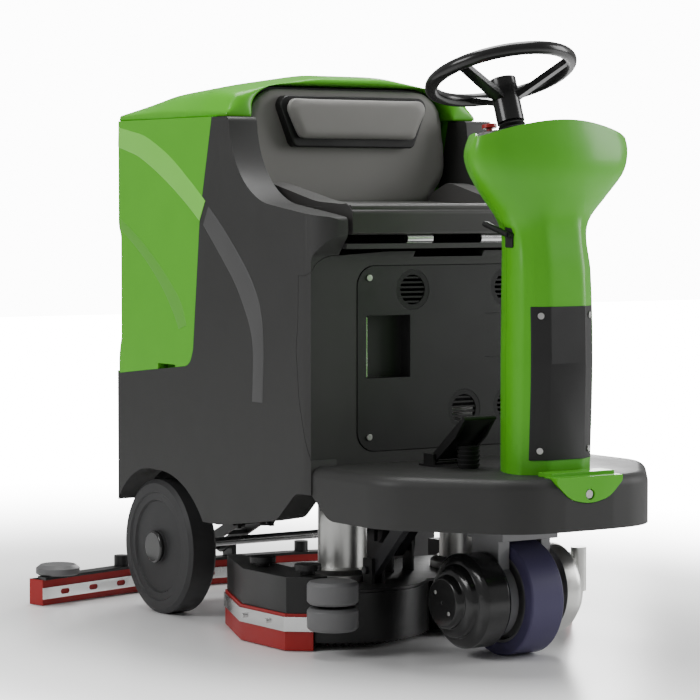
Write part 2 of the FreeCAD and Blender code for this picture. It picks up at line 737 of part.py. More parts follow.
def on_dash(piece, label, x, back):
    """Stands a piece on the dash at x, so far behind the dash's reference line."""
    slope = math.tan(math.radians(S.dash_tilt))
    piece.Placement = FreeCAD.Placement(Vector(), DASH_TURN)
    node(piece, label, y=f"-wheelbase - 60 + {back}", x=str(x), z=str(DASH_LEVEL + 0.3 - back * slope))


button = fuse(rod(6, 14, 0, 0, -5), rod(15, 8, 0, 0, 8))
on_dash(button, "emergency_button", -92, 20)
on_dash(fuse(rod(11, 6, 0, 0, 0), box(3, 16, 14, -1.5, -8, 6)), "key_switch", 92, 20)
on_dash(group(rod(8, 9, 0, 0, -4.5)), "horn_button", 60, -38)


# ---------------------------------------------------------------- column lever and pedal

lever_y = "-wheelbase - 108"
arm = rod(6, 78, "-column_half - 9", lever_y, 853, "Y")
arm.Placement = FreeCAD.Placement(Vector(), FreeCAD.Rotation(Vector(1, 0, 0), -74.4))
bind(arm, x="-column_half - 9", y=lever_y, z="853")
stub = rod(5, 34, "-column_half - 9", lever_y, 853, "X")
node(fuse(arm, stub), "column_lever")


def pedal_plate():
    """Treadle hinged at its heel, with a rib down each side."""
    side = [(0, -4, 4), (-148, -4, 3), (-148, 5, 3), (0, 5, 4)]
    plate = side_prism(side, -40, 39)
    for x in (-40, 33):
        plate = plate.fuse(side_prism([(3, -12, 4), (-96, -14, 6), (-140, -4, 3), (-140, 2, 0), (3, 2, 3)], x, x + 6))
    pin = Part.makeCylinder(4.06, 100, Vector(-50, 0, -8), Vector(1, 0, 0))
    return plate.removeSplitter().cut(pin)


pedal = pedal_plate()
pedal.rotate(Vector(), Vector(1, 0, 0), -38)
pedal.translate(Vector(-86, STEER_Y + 114, 394))
node(solid(pedal), "pedal")
cheek_y = "-wheelbase + 94"
heel = "platform_top"
cheeks = [box(5, 34, 26, x, cheek_y, heel) for x in (-133.5, -43.5)]
pin_y = f"-wheelbase + {114 - 8 * math.sin(math.radians(38)):.3f}"
pin_z = f"{394 - 8 * math.cos(math.radians(38)):.3f}"
base_plate = box(96, 52, 4, -134, "-wheelbase + 92", heel)
node(fuse(base_plate, *cheeks, rod(4, 94, -133, pin_y, pin_z, "X")), "pedal_bracket")
folds = [cone(20, 24, 9, -86, "-wheelbase + 38", f"platform_top + {9 * i}") for i in range(5)]
node(fuse(*folds), "pedal_bellows")


# ---------------------------------------------------------------- chassis and rear wheels

rail_x = 62
rails = [box("rail_width", "wheelbase + 140 + 90", "rail_height", x, "-wheelbase - 140", "frame_level")
         for x in (f"-{rail_x} - rail_width", str(rail_x))]
cross = [slab("240", 24, "rail_height", y, "frame_level") for y in ("-deck_middle - 240", "-45", "40")]
front_plate = slab("130", 240, 8, "-wheelbase - 120", "frame_level - 8")
hangers = [box(10, 90, "frame_level - rear_wheel_radius + 44", x, "-45", "rear_wheel_radius - 22")
           for x in (-236, 226)]
ears = [box(8, 40, "frame_level - 244", x, "-deck_middle - 244", 250) for x in (-167, -141, 133, 159)]
link_ears = [box(6, 34, 44, x, "-deck_middle - 116", "frame_level - 18") for x in (-29, 23)]
link_beam = slab(70, 20, 20, "-deck_middle - 108", "frame_level + 20")
tail_post = [slab(34, 10, 130, 60, 205), slab(34, 44, 8, 60, 197)]
step_pads = [box("rail_width", 50, "platform_top - skin - 0.3 - frame_level", x, y, "frame_level")
             for x in (f"-{rail_x} - rail_width", str(rail_x)) for y in ("-body_front - 90", "-wheelbase - 130")]
jack_pads = [box(30, 60, 14, x, -330, "frame_level - 12") for x in (-97, 67)]
frame = cut(fuse(*rails, *cross, *step_pads, *jack_pads, front_plate, *hangers, *ears, *link_ears, link_beam, *tail_post),
            rod("axle_radius + 0.03", 520, -260, 0, "rear_wheel_radius", "X"),
            rod(8.04, 520, -260, "-deck_middle - 225", 268, "X"),
            rod(8.04, 120, -60, "-deck_middle - 100", 290, "X"),
            rod("ring_radius - 27", 40, 0, "-wheelbase", "frame_level - 20"),
            rod(9.04, 30, 0, 82, 190))
node(frame, "chassis_frame")

axle = rod("axle_radius", "2 * (body_half - wheel_tuck - 12)", "-(body_half - wheel_tuck - 12)", 0,
           "rear_wheel_radius", "X")
node(group(axle), "rear_axle")

HUB_BACK = "-rear_wheel_width"
RIM = "rear_wheel_radius"
BORE = "axle_radius + running_fit"
WHEEL = [
    (HUB_BACK, BORE), (HUB_BACK, "30"), ("-rear_wheel_width + 16", "34"), ("-rear_wheel_width + 16", f"{RIM} - 46"),
    (HUB_BACK, f"{RIM} - 38"), (HUB_BACK, f"{RIM} - 8"), ("-rear_wheel_width + 8", RIM), ("-8", RIM),
    ("-1", f"{RIM} - 9"), ("-0.5", f"{RIM} - 28"), ("-4", f"{RIM} - 31"), ("-4", f"{RIM} - 46"),
    ("-9", f"{RIM} - 49"), ("-7", "46"), ("-7", "36"), ("3", "34"), ("7", "26"), ("7", "0.5"), ("-11", "0.5"), ("-11", BORE),
]
for side, turn, sign in (("right", 180, "-"), ("left", 0, "")):
    wheel = turned(WHEEL)
    wheel.Placement = FreeCAD.Placement(Vector(), FreeCAD.Rotation(Vector(0, 0, 1), turn))
    node(wheel, f"rear_wheel_{side}", x=f"{sign}(body_half - wheel_tuck)", z="rear_wheel_radius")


# ---------------------------------------------------------------- drive unit

steer = "-wheelbase"
ring_low = "frame_level - 8 - ring_height"
node(cut(rod("ring_radius", "ring_height", 0, steer, ring_low),
         rod("ring_radius - 28", "ring_height + 2", 0, steer, f"{ring_low} - 1")), "slewing_ring")
cheek_x = "drive_width / 2 + 4"
top_low = f"{ring_low} - 0.3 - 12"
disc = rod("ring_radius + 2", 12, 0, steer, top_low)
spigot = rod("ring_radius - 28.5", "ring_height + 6", 0, steer, f"{top_low} + 11")
drop = f"{top_low} - drive_radius + 4"
arm = box(28, 92, drop, f"-({cheek_x}) - 28", f"{steer} - 46", "drive_radius")
boss = rod(78, 28, f"-({cheek_x}) - 28", steer, "drive_radius", "X")
far_arm = box(24, 70, drop, cheek_x, f"{steer} - 35", "drive_radius")
far_boss = rod(60, 24, cheek_x, steer, "drive_radius", "X")
spindle = rod("spindle_radius", f"2 * ({cheek_x})", f"-({cheek_x})", steer, "drive_radius", "X")
crown = box(f"2 * ({cheek_x}) + 52", 120, f"{top_low} - 2 * drive_radius - 2.7", f"-({cheek_x}) - 28",
            f"{steer} - 60", "2 * drive_radius + 3")
node(fuse(disc, spigot, crown, arm, boss, far_arm, far_boss, spindle), "drive_fork")
TYRE_IN = "drive_radius - tyre_depth"
node(turned([
    ("-drive_width / 2", f"{TYRE_IN} + 0.07"), ("-drive_width / 2", "drive_radius - 2.5"),
    ("-drive_width / 2 + 2.5", "drive_radius"), ("drive_width / 2 - 2.5", "drive_radius"),
    ("drive_width / 2", "drive_radius - 2.5"), ("drive_width / 2", f"{TYRE_IN} + 0.07")]),
    "drive_tyre", y=steer, z="drive_radius")
node(turned([
    ("-drive_width / 2 + 2", "spindle_radius + running_fit"), ("-drive_width / 2 + 2", "40"),
    ("-drive_width / 2 + 16", "44"), ("-drive_width / 2 + 16", f"{TYRE_IN} - 10"),
    ("-drive_width / 2 + 2", f"{TYRE_IN} - 6"), ("-drive_width / 2 + 2", TYRE_IN),
    ("drive_width / 2 - 2", TYRE_IN), ("drive_width / 2 - 2", f"{TYRE_IN} - 6"),
    ("drive_width / 2 - 16", f"{TYRE_IN} - 10"), ("drive_width / 2 - 16", "44"),
    ("drive_width / 2 - 2", "40"), ("drive_width / 2 - 2", "spindle_radius + running_fit")]),
    "drive_hub", y=steer, z="drive_radius")
node(turned([
    ("0", "2"), ("0", "motor_radius - 6"), ("-8", "motor_radius"), ("-58", "motor_radius"),
    ("-66", "motor_radius - 8"), ("-70", "motor_radius - 22"), ("-82", "motor_radius - 24"),
    ("-88", "motor_radius - 32"), ("-90", "54"), ("-102", "52"), ("-106", "48"), ("-106", "2")]),
    "traction_motor", x=f"-({cheek_x}) - 28.3", y=steer, z="drive_radius")
case_x = f"{cheek_x} + 24.3"
case = rod(92, 24, case_x, steer, "drive_radius + 12", "X")
domes = [cone(low, high, deep, f"{case_x} + {start}", steer, "drive_radius + 12", "X")
         for low, high, deep, start in ((92, 90, 12, 24), (90, 78, 14, 36), (78, 50, 12, 50))]
brake = rod(16, 90, f"{case_x} + 84", f"{steer} - 20", "drive_radius + 2")
bracket = box(30, 24, 24, f"{case_x} + 52", f"{steer} - 32", "drive_radius + 30")
node(fuse(case, *domes, brake, bracket), "gear_case")


# ---------------------------------------------------------------- brush deck

deck_y = "-deck_middle"
deck_top = "deck_level + 6"
discs = [rod("skirt_radius - 4", 6, x, deck_y, "deck_level") for x in ("-brush_offset", "brush_offset")]
middle = slab("brush_offset", "skirt_radius + 60", 6, f"{deck_y} - 120", "deck_level")
skirts = []
for x in ("-brush_offset", "brush_offset"):
    skirts.append(cut(rod("skirt_radius", "deck_level - 16", x, deck_y, 16),
                      rod("skirt_radius - 7", "deck_level", x, deck_y, 0)))
open_middle = slab("brush_offset", "1.5 * skirt_radius", "deck_level - 14", f"{deck_y} - 0.6 * skirt_radius", 13)
deck_ears = [box(8, 33, 52, x, f"{deck_y} - 124", deck_top) for x in (-167, -141, 133, 159)]
link_seats = [box(6, 34, 64, x, f"{deck_y} + 3", deck_top) for x in (-29, 23)]
bracket = box(67, 75, 4, -337, f"{deck_y} - 230", 101)
ear_holes = rod(8.04, 520, -260, f"{deck_y} - 105", 151, "X")
link_holes = rod(8.04, 120, -60, f"{deck_y} + 20", 173, "X")
hub_holes = [rod(22, 30, x, deck_y, "deck_level - 5") for x in ("-brush_offset", "brush_offset")]
roller_hole = rod(6.05, 30, -325, f"{deck_y} - 217", 90)
trims = [box(60, 600, 200, x, f"{deck_y} - 300", 0) for x in ("-blade_half - 48", "blade_half - 12")]
skirted = cut(fuse(*discs, middle, *skirts), open_middle, *trims)
node(cut(fuse(skirted, *deck_ears, *link_seats, bracket),
         ear_holes, link_holes, *hub_holes, roller_hole), "brush_deck")

# Side boxes: three upright facets outside each skirt, with the blades fixed to their foot.
SIDE = [(-289, -221), (-378, -432), (-376, -604), (-330, -642)]


def facet_strip(depth, inset, z_low, z_high):
    """An upright strip along the three facets, so thick and so far inside them."""
    outer = [offset_point(i, inset) for i in range(len(SIDE))]
    inner = [offset_point(i, inset + depth) for i in range(len(SIDE))]
    ring = [Vector(x, y, z_low) for x, y in outer + inner[::-1]]
    return Part.Face(Part.makePolygon(ring + ring[:1])).extrude(Vector(0, 0, z_high - z_low))


def facet_points():
    """The facets' corners, stretched to the deck's own width."""
    widest = 378
    return [(x * (S.blade_half + 2) / widest, y - S.deck_middle + 490) for x, y in SIDE]


def offset_point(i, inset):
    """Corner i of the facets moved square to them, towards the machine."""
    spots = [Vector(x, y, 0) for x, y in facet_points()]
    runs = [(spots[k + 1] - spots[k]).normalize() for k in range(len(spots) - 1)]
    near = [runs[k] for k in (i - 1, i) if 0 <= k < len(runs)]
    normals = [Vector(-run.y, run.x, 0) for run in near]
    middle = sum(normals, Vector()).normalize()
    moved = spots[i] + middle * (inset / middle.dot(normals[0]))
    return moved.x, moved.y


def both_sides(shape):
    return Part.makeCompound([shape, shape.mirror(Vector(), Vector(1, 0, 0))])


def side_boxes():
    """Black boxes that carry the side blades, each with two clamp knobs on its lid."""
    skirt = Part.makeCylinder(S.skirt_radius + S.clearance, 400, Vector(-S.brush_offset, -S.deck_middle, -100))
    plan = [(x, y) for x, y in (offset_point(i, 7.3) for i in range(4))]
    ring = [Vector(x, y, 74) for x, y in plan + [(plan[3][0] + 34, plan[3][1]), (plan[0][0] + 30, plan[0][1])]]
    body = Part.Face(Part.makePolygon(ring + ring[:1])).extrude(Vector(0, 0, 78))
    body = body.cut(skirt.common(block(-S.blade_half + 11, 0, -900, 0, 0, S.deck_level + 6.3)))
    for x, y in ((-318, -428), (-306, -585)):
        body = body.fuse(Part.makeCylinder(15, 20, Vector(x, y - S.deck_middle + 490, 151)))
        body = body.fuse(Part.makeCylinder(28, 13, Vector(x, y - S.deck_middle + 490, 160)))
    return both_sides(body.removeSplitter())


def side_blades():
    lip = facet_strip(4, 3, S.floor_gap, 77)
    return both_sides(lip)


def blade_strips():
    """Bright clamp strips with a row of screw heads."""
    strip = facet_strip(2.7, 0, 41, 71)
    (x0, y0), (x1, y1) = facet_points()[1:3]
    for part in (0.12, 0.64):
        x, y = x0 + (x1 - x0) * part, y0 + (y1 - y0) * part
        strip = strip.fuse(Part.makeCylinder(5, 8, Vector(x + 1, y, 56), Vector(-1, 0, 0)))
    return both_sides(strip)


def brush_motors():
    """Two upright gear motors on round flanges."""
    pieces = []
    for x in (-S.brush_offset, S.brush_offset):
        base = Vector(x, -S.deck_middle, S.deck_level + 6.3)
        pot = Part.makeCylinder(88, 14, base)
        pot = pot.fuse(Part.makeCone(88, 74, 10, base + Vector(0, 0, 14)))
        aside = Vector(math.copysign(20, -x), 0, 20)
        pot = pot.fuse(Part.makeCylinder(52, 145, base + aside))
        pot = pot.fuse(Part.makeCylinder(20, 24, base - Vector(0, 0, 22)))
        pieces.append(pot.removeSplitter())
    return Part.makeCompound(pieces)


node(solid(side_boxes()), "deck_side_boxes")
node(solid(side_blades()), "deck_blades")
node(solid(blade_strips()), "deck_blade_strips")
node(solid(brush_motors()), "brush_motors")
for side, sign in (("right", "-"), ("left", "")):
    pad = rod("brush_radius", 38, 0, 0, 3)
    plate = rod("brush_radius - 12", 14, 0, 0, 40)
    hub = rod(34, "deck_level - 16 - 54", 0, 0, 54)
    bowl = rod(40, 42, 0, 0, 2)
    node(cut(fuse(pad, plate, hub), bowl), f"brush_{side}", x=f"{sign}brush_offset", y=deck_y)

# The bumper roller: two rounded drums on one pin, at the right-hand front corner only.
drums = [rod("roller_radius", 35, 0, 0, low) for low in (59, 112)]
drums += [cone(*ends, 6, 0, 0, low) for low, ends in (
    (53, ("roller_radius - 6", "roller_radius")), (94, ("roller_radius", "roller_radius - 6")),
    (106, ("roller_radius - 6", "roller_radius")), (147, ("roller_radius", "roller_radius - 6")))]
node(fuse(*drums, rod(6, 10, 0, 0, 98)), "deck_roller", x="-325", y=f"{deck_y} - 217")

arm_y = "-deck_middle - 225"
bars = []
for x in (-158, 142):
    bar = box(16, 203.8, 30, 0, 0, 0)
    bar.Placement = FreeCAD.Placement(Vector(), FreeCAD.Rotation(Vector(1, 0, 0), -44.3))
    bars.append(bind(bar, x=str(x), y=f"{arm_y} - 24.2", z="266.5"))
arm_pins = [rod(8, 48, x, arm_y, 268, "X") for x in (-174, 126)]
arm_pins += [rod(8, 48, x, f"{deck_y} - 105", 151, "X") for x in (-174, 126)]
node(group(*[fuse(bars[i], arm_pins[i], arm_pins[i + 2]) for i in range(2)]), "deck_arms")
link_bar = slab(12, 192, 24, 0, 0)
link_bar.Placement = FreeCAD.Placement(Vector(), FreeCAD.Rotation(Vector(1, 0, 0), -44.3))
link = bind(link_bar, x="-12", y="-deck_middle - 117.1", z="289.8")
link_pins = [rod(8, 60, -30, "-deck_middle - 100", 290, "X"), rod(7.6, 60, -30, "-deck_middle + 20", 173, "X")]
node(fuse(link, *link_pins), "deck_link")


# ---------------------------------------------------------------- squeegee

BLADE_LINE = [(-506, 277), (-495, 233), (-219, 310), (0, 327), (219, 310), (495, 233), (506, 277)]


def blade_band(depth, lead, z_low, z_high, count=7):
    """An upright band along the squeegee's line, moved back by lead."""
    grow = S.squeegee_half / 506
    skip = (7 - count) // 2
    line = BLADE_LINE[skip:7 - skip]
    front = [Vector(x * grow, y + lead, z_low) for x, y in line]
    back = [Vector(x * grow, y + lead + depth, z_low) for x, y in line]
    if count == 7:
        back[0].x += depth
        back[-1].x -= depth
    ring = front + back[::-1]
    return Part.Face(Part.makePolygon(ring + ring[:1])).extrude(Vector(0, 0, z_high - z_low))


def squeegee_frame():
    """Black pressing over the blades, with two lugs for the lift arm."""
    top = blade_band(38, -14, S.blade_height + 0.5, S.blade_height + 7, 5)
    spine = blade_band(10, 10.3, 22, S.blade_height + 1, 5)
    shape = top.fuse(spine)
    for x in (-64, 52):
        shape = shape.fuse(block(x, x + 12, 306, 350, S.blade_height + 6, S.blade_height + 44))
    pin = Part.makeCylinder(6.04, 200, Vector(-100, 332, S.blade_height + 30), Vector(1, 0, 0))
    for x in (-444, 444):
        shape = shape.fuse(Part.makeCylinder(30, 6.5, Vector(x * S.squeegee_half / 506, 262, S.blade_height + 0.5)))
        shape = shape.fuse(Part.makeCylinder(6, 20, Vector(x * S.squeegee_half / 506, 256, S.blade_height + 6)))
    for x in (-250, 250):
        shape = shape.fuse(Part.makeCylinder(17, 26, Vector(x, 308, S.blade_height + 6)))
    return shape.removeSplitter().cut(pin)


def squeegee_blades():
    """Front and rear rubber lips."""
    ahead = blade_band(4, 0, S.floor_gap, S.blade_height)
    behind = blade_band(4, 20.6, S.floor_gap, S.blade_height - 4, 5)
    return Part.makeCompound([ahead, behind])


def squeegee_strips():
    """Clamp strip ahead of the front lip, with slots along it."""
    strip = blade_band(3.4, -3.7, 16, 42, 5)
    grow = S.squeegee_half / 506
    for i in range(-5, 6):
        slot = front_prism([(-13, 23, 6), (13, 23, 6), (13, 35, 6), (-13, 35, 6)], 200, 330)
        slot.translate(Vector(i * 86 * grow, 0, 0))
        strip = strip.cut(slot)
    return strip


node(solid(squeegee_frame()), "squeegee_frame")
node(solid(squeegee_blades()), "squeegee_blades")
node(solid(squeegee_strips()), "squeegee_strips")
for side, sign in (("right", "-"), ("left", "")):
    cap = fuse(rod(46, 14, 0, 0, "blade_height + 7.5"), rod(50, 13, 0, 0, "blade_height + 10"),
               cone(50, 40, 8, 0, 0, "blade_height + 23"))
    node(cut(cap, rod(6.05, 22, 0, 0, "blade_height + 6")), f"squeegee_roller_{side}",
         x=f"{sign}444 * squeegee_half / 506", y="256")

post = rod(9, 34, 0, 82, 172)
plate = slab(36, 62, 12, 62, 184.5)
lugs = [box(10, 26, 36, x, 112, 160) for x in (-50, 40)]
tie = slab(50, 8, 12, 112, 184.5)
node(cut(fuse(post, plate, tie, *lugs), rod(6.04, 120, -60, 126, 172, "X")), "squeegee_swing")


def lift_arm():
    """Two bars from the swing plate down to the squeegee's lugs."""
    shape = Part.makeCylinder(6, 116, Vector(-58, 126, 172), Vector(1, 0, 0))
    shape = shape.fuse(Part.makeCylinder(6, 150, Vector(-75, 332, S.blade_height + 30), Vector(1, 0, 0)))
    for x in (-37, 29):
        side = side_prism([
            (116, 183, 6), (112, 162, 6), (150, 158, 30), (322, S.blade_height + 18, 8),
            (344, S.blade_height + 22, 8), (340, S.blade_height + 40, 8), (150, 183, 30)], x, x + 8)
        shape = shape.fuse(side)
    return shape.fuse(block(-37, 37, 200, 230, 136, 146)).removeSplitter()


node(solid(lift_arm()), "squeegee_lift_arm")


# ---------------------------------------------------------------- inner pieces and fasteners

def batteries():
    """Four traction batteries in a two by two block on the battery floor."""
    wide, deep, tall, gap = 178, 150, 250, 3
    floor = S.bay_floor + S.skin + 0.3
    pieces = []
    for x in (-wide - gap / 2, gap / 2):
        for y in (-560, -560 + deep + gap):
            case = Part.makeBox(wide, deep, tall, Vector(x, y, floor))
            case = case.makeFillet(6, vertical(case))
            for post_x in (35, wide - 35):
                case = case.fuse(Part.makeCylinder(9, 18, Vector(x + post_x, y + deep / 2, floor + tall - 1)))
            pieces.append(case)
    return Part.makeCompound(pieces)


node(solid(batteries()), "batteries")
fan_floor = "bay_floor + skin + 0.3"
node(fuse(rod(76, 60, 120, -40, fan_floor), rod(52, 80, 120, -40, f"{fan_floor} + 58"),
          rod(19, 46, 120, "-40 + 60", f"{fan_floor} + 30", "Y")), "vacuum_motor")
node(fuse(box(200, 38, 130, -100, -603, fan_floor), box(180, 6, 60, -90, -609, "bay_floor + skin + 40")),
     "controller_box")


def column_face(x, z):
    """How far forward the column plate's surface lies at x, z."""
    ray = Part.makeLine(Vector(x, STEER_Y - 300, z), Vector(x, COLUMN_SEAM, z))
    return min(corner.Point.y for corner in ray.common(column_skin(-3)).Vertexes)


def cover_screws():
    """The access panel's four screws, the column plate's four and the flap's one."""
    ahead = Vector(0, -1, 0)
    face = -S.body_front - 1.5
    pieces = []
    for x in (-199, 199):
        for z in (434, 762):
            pieces.append(Part.makeCylinder(6.5, 3, Vector(x, face - 0.1, z), ahead))
    for x in (-60, 60):
        for z in (428, 694):
            slope = (column_face(x + 4, z) - column_face(x - 4, z)) / 8
            outward = Vector(slope, -1, 0).normalize()
            spot = Vector(x, column_face(x, z), z) + outward * 0.4
            pieces.append(Part.makeCylinder(6.5, 2.5, spot, outward))
    nose = STEER_Y - S.nose_reach
    pieces.append(Part.makeCylinder(8.5, 3.5, Vector(0, nose + 3.8, S.platform_top - 33), ahead))
    return Part.makeCompound(pieces)


node(solid(cover_screws()), "cover_screws")
x0, x1, z0, z1 = PULL
latch = block(x0 + 0.3, x0 + 3.3, -S.body_front - 1, -S.body_front + 26, z0 + 3, z1 - 3)
for z in (z0 + 14, z0 + 26, z1 - 26, z1 - 14):
    latch = latch.fuse(Part.makeCylinder(4, 3, Vector(x0 + 3, -S.body_front + 8, z), Vector(1, 0, 0)))
node(solid(latch), "latch_plate")


def seat_hinges():
    """Two pairs of knuckles on the hinge pin, on top of the body's cross bar."""
    pieces = []
    for x in (-126, 62):
        leaf = block(x, x + 64, -S.seat_front + 4, -S.seat_front + 34, S.hinge_level - 9.2, S.hinge_level - 6.2)
        pin = Vector(x, -S.seat_front + 8, S.hinge_level)
        knuckle = Part.makeCylinder(S.seat_low - S.hinge_level - S.clearance, 64, pin, Vector(1, 0, 0))
        pieces.append(leaf.fuse(knuckle).removeSplitter())
    return Part.makeCompound(pieces)


node(solid(seat_hinges()), "seat_hinges")


# ---------------------------------------------------------------- checks and export

def check(piece):
    if piece.Shape.isNull() or not piece.Shape.isValid() or not piece.Shape.Solids:
        raise RuntimeError(f"{piece.Label}: bad shape")


doc.recompute()
for thing in doc.Objects:
    if "Invalid" in thing.State or "Error" in thing.State:
        raise RuntimeError(f"{thing.Label} failed to recompute")
os.makedirs("parts", exist_ok=True)
for piece in NODES:
    check(piece)
    piece.Shape.exportStep(f"parts/{piece.Label}.step")
    size = piece.Shape.BoundBox
    print(f"{piece.Label}: {len(piece.Shape.Solids)} solids, x {size.XMin:.1f} {size.XMax:.1f}, "
          f"y {size.YMin:.1f} {size.YMax:.1f}, z {size.ZMin:.1f} {size.ZMax:.1f}")
print(f"{len(NODES)} nodes")
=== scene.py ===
import math

import bmesh
import bpy
from mathutils import Matrix, Vector


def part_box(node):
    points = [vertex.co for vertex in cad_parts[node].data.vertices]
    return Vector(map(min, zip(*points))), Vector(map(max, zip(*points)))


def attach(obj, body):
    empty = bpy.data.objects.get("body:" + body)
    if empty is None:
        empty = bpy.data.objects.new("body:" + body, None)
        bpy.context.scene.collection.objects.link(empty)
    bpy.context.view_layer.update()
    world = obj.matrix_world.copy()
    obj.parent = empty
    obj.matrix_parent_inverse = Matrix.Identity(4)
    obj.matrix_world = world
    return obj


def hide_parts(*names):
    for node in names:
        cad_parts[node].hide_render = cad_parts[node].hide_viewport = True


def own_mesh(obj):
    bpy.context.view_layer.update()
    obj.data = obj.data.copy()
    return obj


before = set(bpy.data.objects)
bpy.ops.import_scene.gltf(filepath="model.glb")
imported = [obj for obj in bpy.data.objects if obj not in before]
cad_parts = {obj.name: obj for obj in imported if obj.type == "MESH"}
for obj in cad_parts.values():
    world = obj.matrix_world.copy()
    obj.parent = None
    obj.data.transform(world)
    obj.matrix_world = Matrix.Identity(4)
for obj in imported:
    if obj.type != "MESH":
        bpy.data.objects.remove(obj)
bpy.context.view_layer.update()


# ------------------------------------------------------------ studio
# A white sweep with one soft window on each side of the machine, one overhead and a strip
# behind that draws the edges of the mouldings. The surround is white to look at, but dim
# as a light, so that the mouldings keep their shading.

camera_data = bpy.data.cameras.new("studio_camera")
camera_data.lens = 141.98
camera_data.sensor_width = 36
camera_data.clip_end = 60
studio_camera = bpy.data.objects.new("studio_camera", camera_data)
studio_camera.location = (-3.37057, -4.94954, 0.91536)
studio_camera.rotation_euler = (math.radians(90 - 3.05), 0, math.radians(-33.69))
bpy.context.scene.collection.objects.link(studio_camera)
bpy.context.scene.camera = studio_camera


def soft_light(name, place, target, size, power):
    lamp = bpy.data.lights.new(name, "AREA")
    lamp.shape = "RECTANGLE"
    lamp.size, lamp.size_y = size
    lamp.energy = power
    holder = bpy.data.objects.new(name, lamp)
    holder.location = place
    aim = Vector(target) - Vector(place)
    holder.rotation_euler = aim.to_track_quat("-Z", "Y").to_euler()
    bpy.context.scene.collection.objects.link(holder)


soft_light("key_window", (-3.6, 0.2, 2.4), (0, 0, 0.6), (1.8, 1.4), 62)
soft_light("top_window", (0.3, 0.4, 4.0), (0, 0, 0.5), (2.4, 2.0), 150)
soft_light("left_window", (3.4, -1.9, 1.8), (0, -0.4, 0.7), (1.8, 2.4), 92)
soft_light("rear_strip", (2.8, 3.0, 1.9), (0, 0.2, 0.7), (0.6, 2.4), 70)

SURROUND_LIGHT = 0.34
SURROUND_SEEN = 16.0
world = bpy.data.worlds.new("studio_white")
world.use_nodes = True
around = world.node_tree
dim = around.nodes["Background"]
dim.inputs["Color"].default_value = (1, 1, 1, 1)
dim.inputs["Strength"].default_value = SURROUND_LIGHT
seen = around.nodes.new("ShaderNodeBackground")
seen.inputs["Strength"].default_value = SURROUND_SEEN
ray = around.nodes.new("ShaderNodeLightPath")
either = around.nodes.new("ShaderNodeMixShader")
around.links.new(ray.outputs["Is Camera Ray"], either.inputs[0])
around.links.new(dim.outputs["Background"], either.inputs[1])
around.links.new(seen.outputs["Background"], either.inputs[2])
around.links.new(either.outputs["Shader"], around.nodes["World Output"].inputs["Surface"])
bpy.context.scene.world = world

bpy.ops.object.select_all(action="DESELECT")
bpy.ops.mesh.primitive_plane_add(size=30, location=(0, 0, 0))
floor = bpy.context.object
floor.name = "studio_floor"
white = bpy.data.materials.new("studio_white")
white.use_nodes = True
white_shader = white.node_tree.nodes["Principled BSDF"]
white_shader.inputs["Base Color"].default_value = (0.93, 0.93, 0.93, 1)
white_shader.inputs["Roughness"].default_value = 0.28
white_shader.inputs["Emission Color"].default_value = (1, 1, 1, 1)
sweep = white.node_tree


def blended(low, high, value, gain):
    """A smooth step from nothing at low to gain at high."""
    step = sweep.nodes.new("ShaderNodeMapRange")
    step.interpolation_type = "SMOOTHSTEP"
    step.inputs["From Min"].default_value = low
    step.inputs["From Max"].default_value = high
    step.inputs["To Max"].default_value = gain
    sweep.links.new(value, step.inputs["Value"])
    return step.outputs["Result"]


# The floor keeps its shadows near the machine and fades into the white surround further out.
# Distances are counted in half widths and half lengths of the patch that the machine stands on.
PATCH_HALF_WIDTH = 0.75
PATCH_HALF_LENGTH = 1.1
FLOOR_GLOW = 0.8
NEAR_FADE = (0.7, 1.3)
FAR_FADE = (1.2, 3.4)
floor_place = sweep.nodes.new("ShaderNodeTexCoord")
footprint = sweep.nodes.new("ShaderNodeMapping")
footprint.inputs["Scale"].default_value = (1 / PATCH_HALF_WIDTH, 1 / PATCH_HALF_LENGTH, 1)
away = sweep.nodes.new("ShaderNodeVectorMath")
away.operation = "LENGTH"
both = sweep.nodes.new("ShaderNodeMath")
both.operation = "ADD"
glow = sweep.nodes.new("ShaderNodeLightPath")
glow_share = sweep.nodes.new("ShaderNodeMath")
glow_share.operation = "MULTIPLY"
sweep.links.new(floor_place.outputs["Object"], footprint.inputs["Vector"])
sweep.links.new(footprint.outputs["Vector"], away.inputs[0])
sweep.links.new(blended(*NEAR_FADE, away.outputs["Value"], FLOOR_GLOW), both.inputs[0])
sweep.links.new(blended(*FAR_FADE, away.outputs["Value"], SURROUND_SEEN), both.inputs[1])
sweep.links.new(glow.outputs["Is Camera Ray"], glow_share.inputs[0])
sweep.links.new(both.outputs["Value"], glow_share.inputs[1])
sweep.links.new(glow_share.outputs["Value"], white_shader.inputs["Emission Strength"])
floor.data.materials.append(white)


# ------------------------------------------------------------ main body
# The dark rotomoulded body: one hollow polyethylene moulding with thick tank walls at each
# side, a fine sandy grain from the mould and large soft edges. It is bolted to the chassis.

